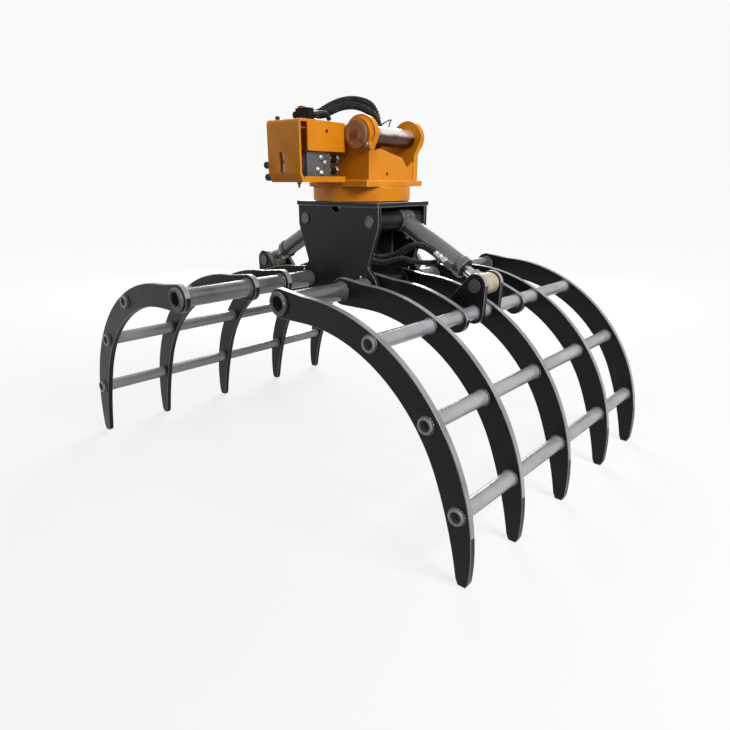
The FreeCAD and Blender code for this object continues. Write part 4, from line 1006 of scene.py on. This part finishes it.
linkRoute = [(50, -388, 690), (60, -366, 696), (68, -340, 700), (70, -318, 690), (70, -310, 672)]
joinMeshes("box_link_hose", [plainTube(onHead(linkRoute), 0.009, headWay(1, 0, 0.05))],
           "rubber", "head")
greaseRoute = [
    (50, 66, 676), (60, 78, 690), (84, 86, 702), (112, 72, 706), (129, 46, 701), (135, 22, 686), (135, 16, 664),
]
joinMeshes("grease_line", [plainTube(onHead(greaseRoute), 0.0028, headWay(0.3, 0.2, 1), around=10)],
           "rubber", "head")

uprightProfile = (
    (0, 0), (0, 0.020, 6), (0.014, 0.020, 6), (0.015, 0.013), (0.060, 0.013), (0.061, 0.017, 6),
    (0.076, 0.017, 6), (0.078, 0.011), (0.100, 0.011), (0.104, 0.007), (0.105, 0),
)
joinMeshes("box_fitting", [spun(uprightProfile, onHead(fittingPlaces["boxFitting"]), (0, 0, 1))],
           "bright", "head")
studProfile = ((0, 0), (0, 0.0085, 6), (0.007, 0.0085, 6), (0.008, 0.0048), (0.018, 0.0045), (0.022, 0))
joinMeshes("box_stud", [spun(studProfile, onHead(fittingPlaces["boxStud"]), (0, 0, -1))],
           "dullPin", "head")

# The head pin's bare end face is turned in shallow steps; its keeper is a plated bolt on a washer.
pinEndValues = {"x": 135, "rise": 626, "faceY": -224, "keeperY": -214, "keeperReach": 64, "keeperAngle": 40}
faceProfile = (
    (-0.009, 0), (-0.009, 0.0555), (0.0012, 0.0555), (0.003, 0.0535), (0.003, 0.040), (0.0015, 0.0385),
    (0.0015, 0.024), (0.0028, 0.0225), (0.0028, 0.010), (0.0006, 0.0085), (0.0006, 0.004), (0.0018, 0.003),
    (0.0018, 0),
)
facePlace = (pinEndValues["x"], pinEndValues["faceY"], pinEndValues["rise"])
joinMeshes("pin_face", [spun(faceProfile, onHead(facePlace), headWay(0, -1, 0), around=56)],
           "rustyPin", "head")
keeperAngle = math.radians(pinEndValues["keeperAngle"])
keeperPlace = (
    pinEndValues["x"] + pinEndValues["keeperReach"] * math.cos(keeperAngle), pinEndValues["keeperY"],
    pinEndValues["rise"] - pinEndValues["keeperReach"] * math.sin(keeperAngle),
)
keeperProfile = (
    (0, 0), (0, 0.0125), (0.002, 0.0125), (0.002, 0.0112, 6), (0.0085, 0.0112, 6), (0.0100, 0.0095),
    (0.0100, 0),
)
joinMeshes("keeper_head", [spun(keeperProfile, onHead(keeperPlace), headWay(0, -1, 0))],
           "bright", "head")

nippleValues = {"hubAside": 0.022, "tubeAside": 0.205}
nippleProfile = (
    (-0.001, 0), (-0.001, 0.0055, 6), (0.005, 0.0055, 6), (0.0055, 0.0034), (0.009, 0.003), (0.010, 0.0038),
    (0.012, 0.0036), (0.014, 0.002), (0.0145, 0),
)
for side, sign in (("right", 1), ("left", -1)):
    pivotX, pivotZ = sign * jawValues["pivotOut"], jawValues["pivotHeight"]
    spots = [(pivotX, sign * jawValues["shift"] + nippleValues["hubAside"], pivotZ + jawValues["hubRadius"])]
    spots += [
        (pivotX, aside, pivotZ + jawValues["pivotTubeRadius"])
        for aside in (-nippleValues["tubeAside"], nippleValues["tubeAside"])
    ]
    joinMeshes("pivot_nipples_" + side, [spun(nippleProfile, spot, (0, 0, 1)) for spot in spots],
               "bright", "jaw_" + side)
    onEye = onCylinder(side, -cylinderValues["eyeRadius"], 0.0, 0.0)
    joinMeshes("barrel_nipple_" + side, [spun(nippleProfile, onEye, tuple(-v for v in cylinderWay(side)))],
               "bright", "barrel_" + side)
print("bolts, plugs, caps and lines placed")
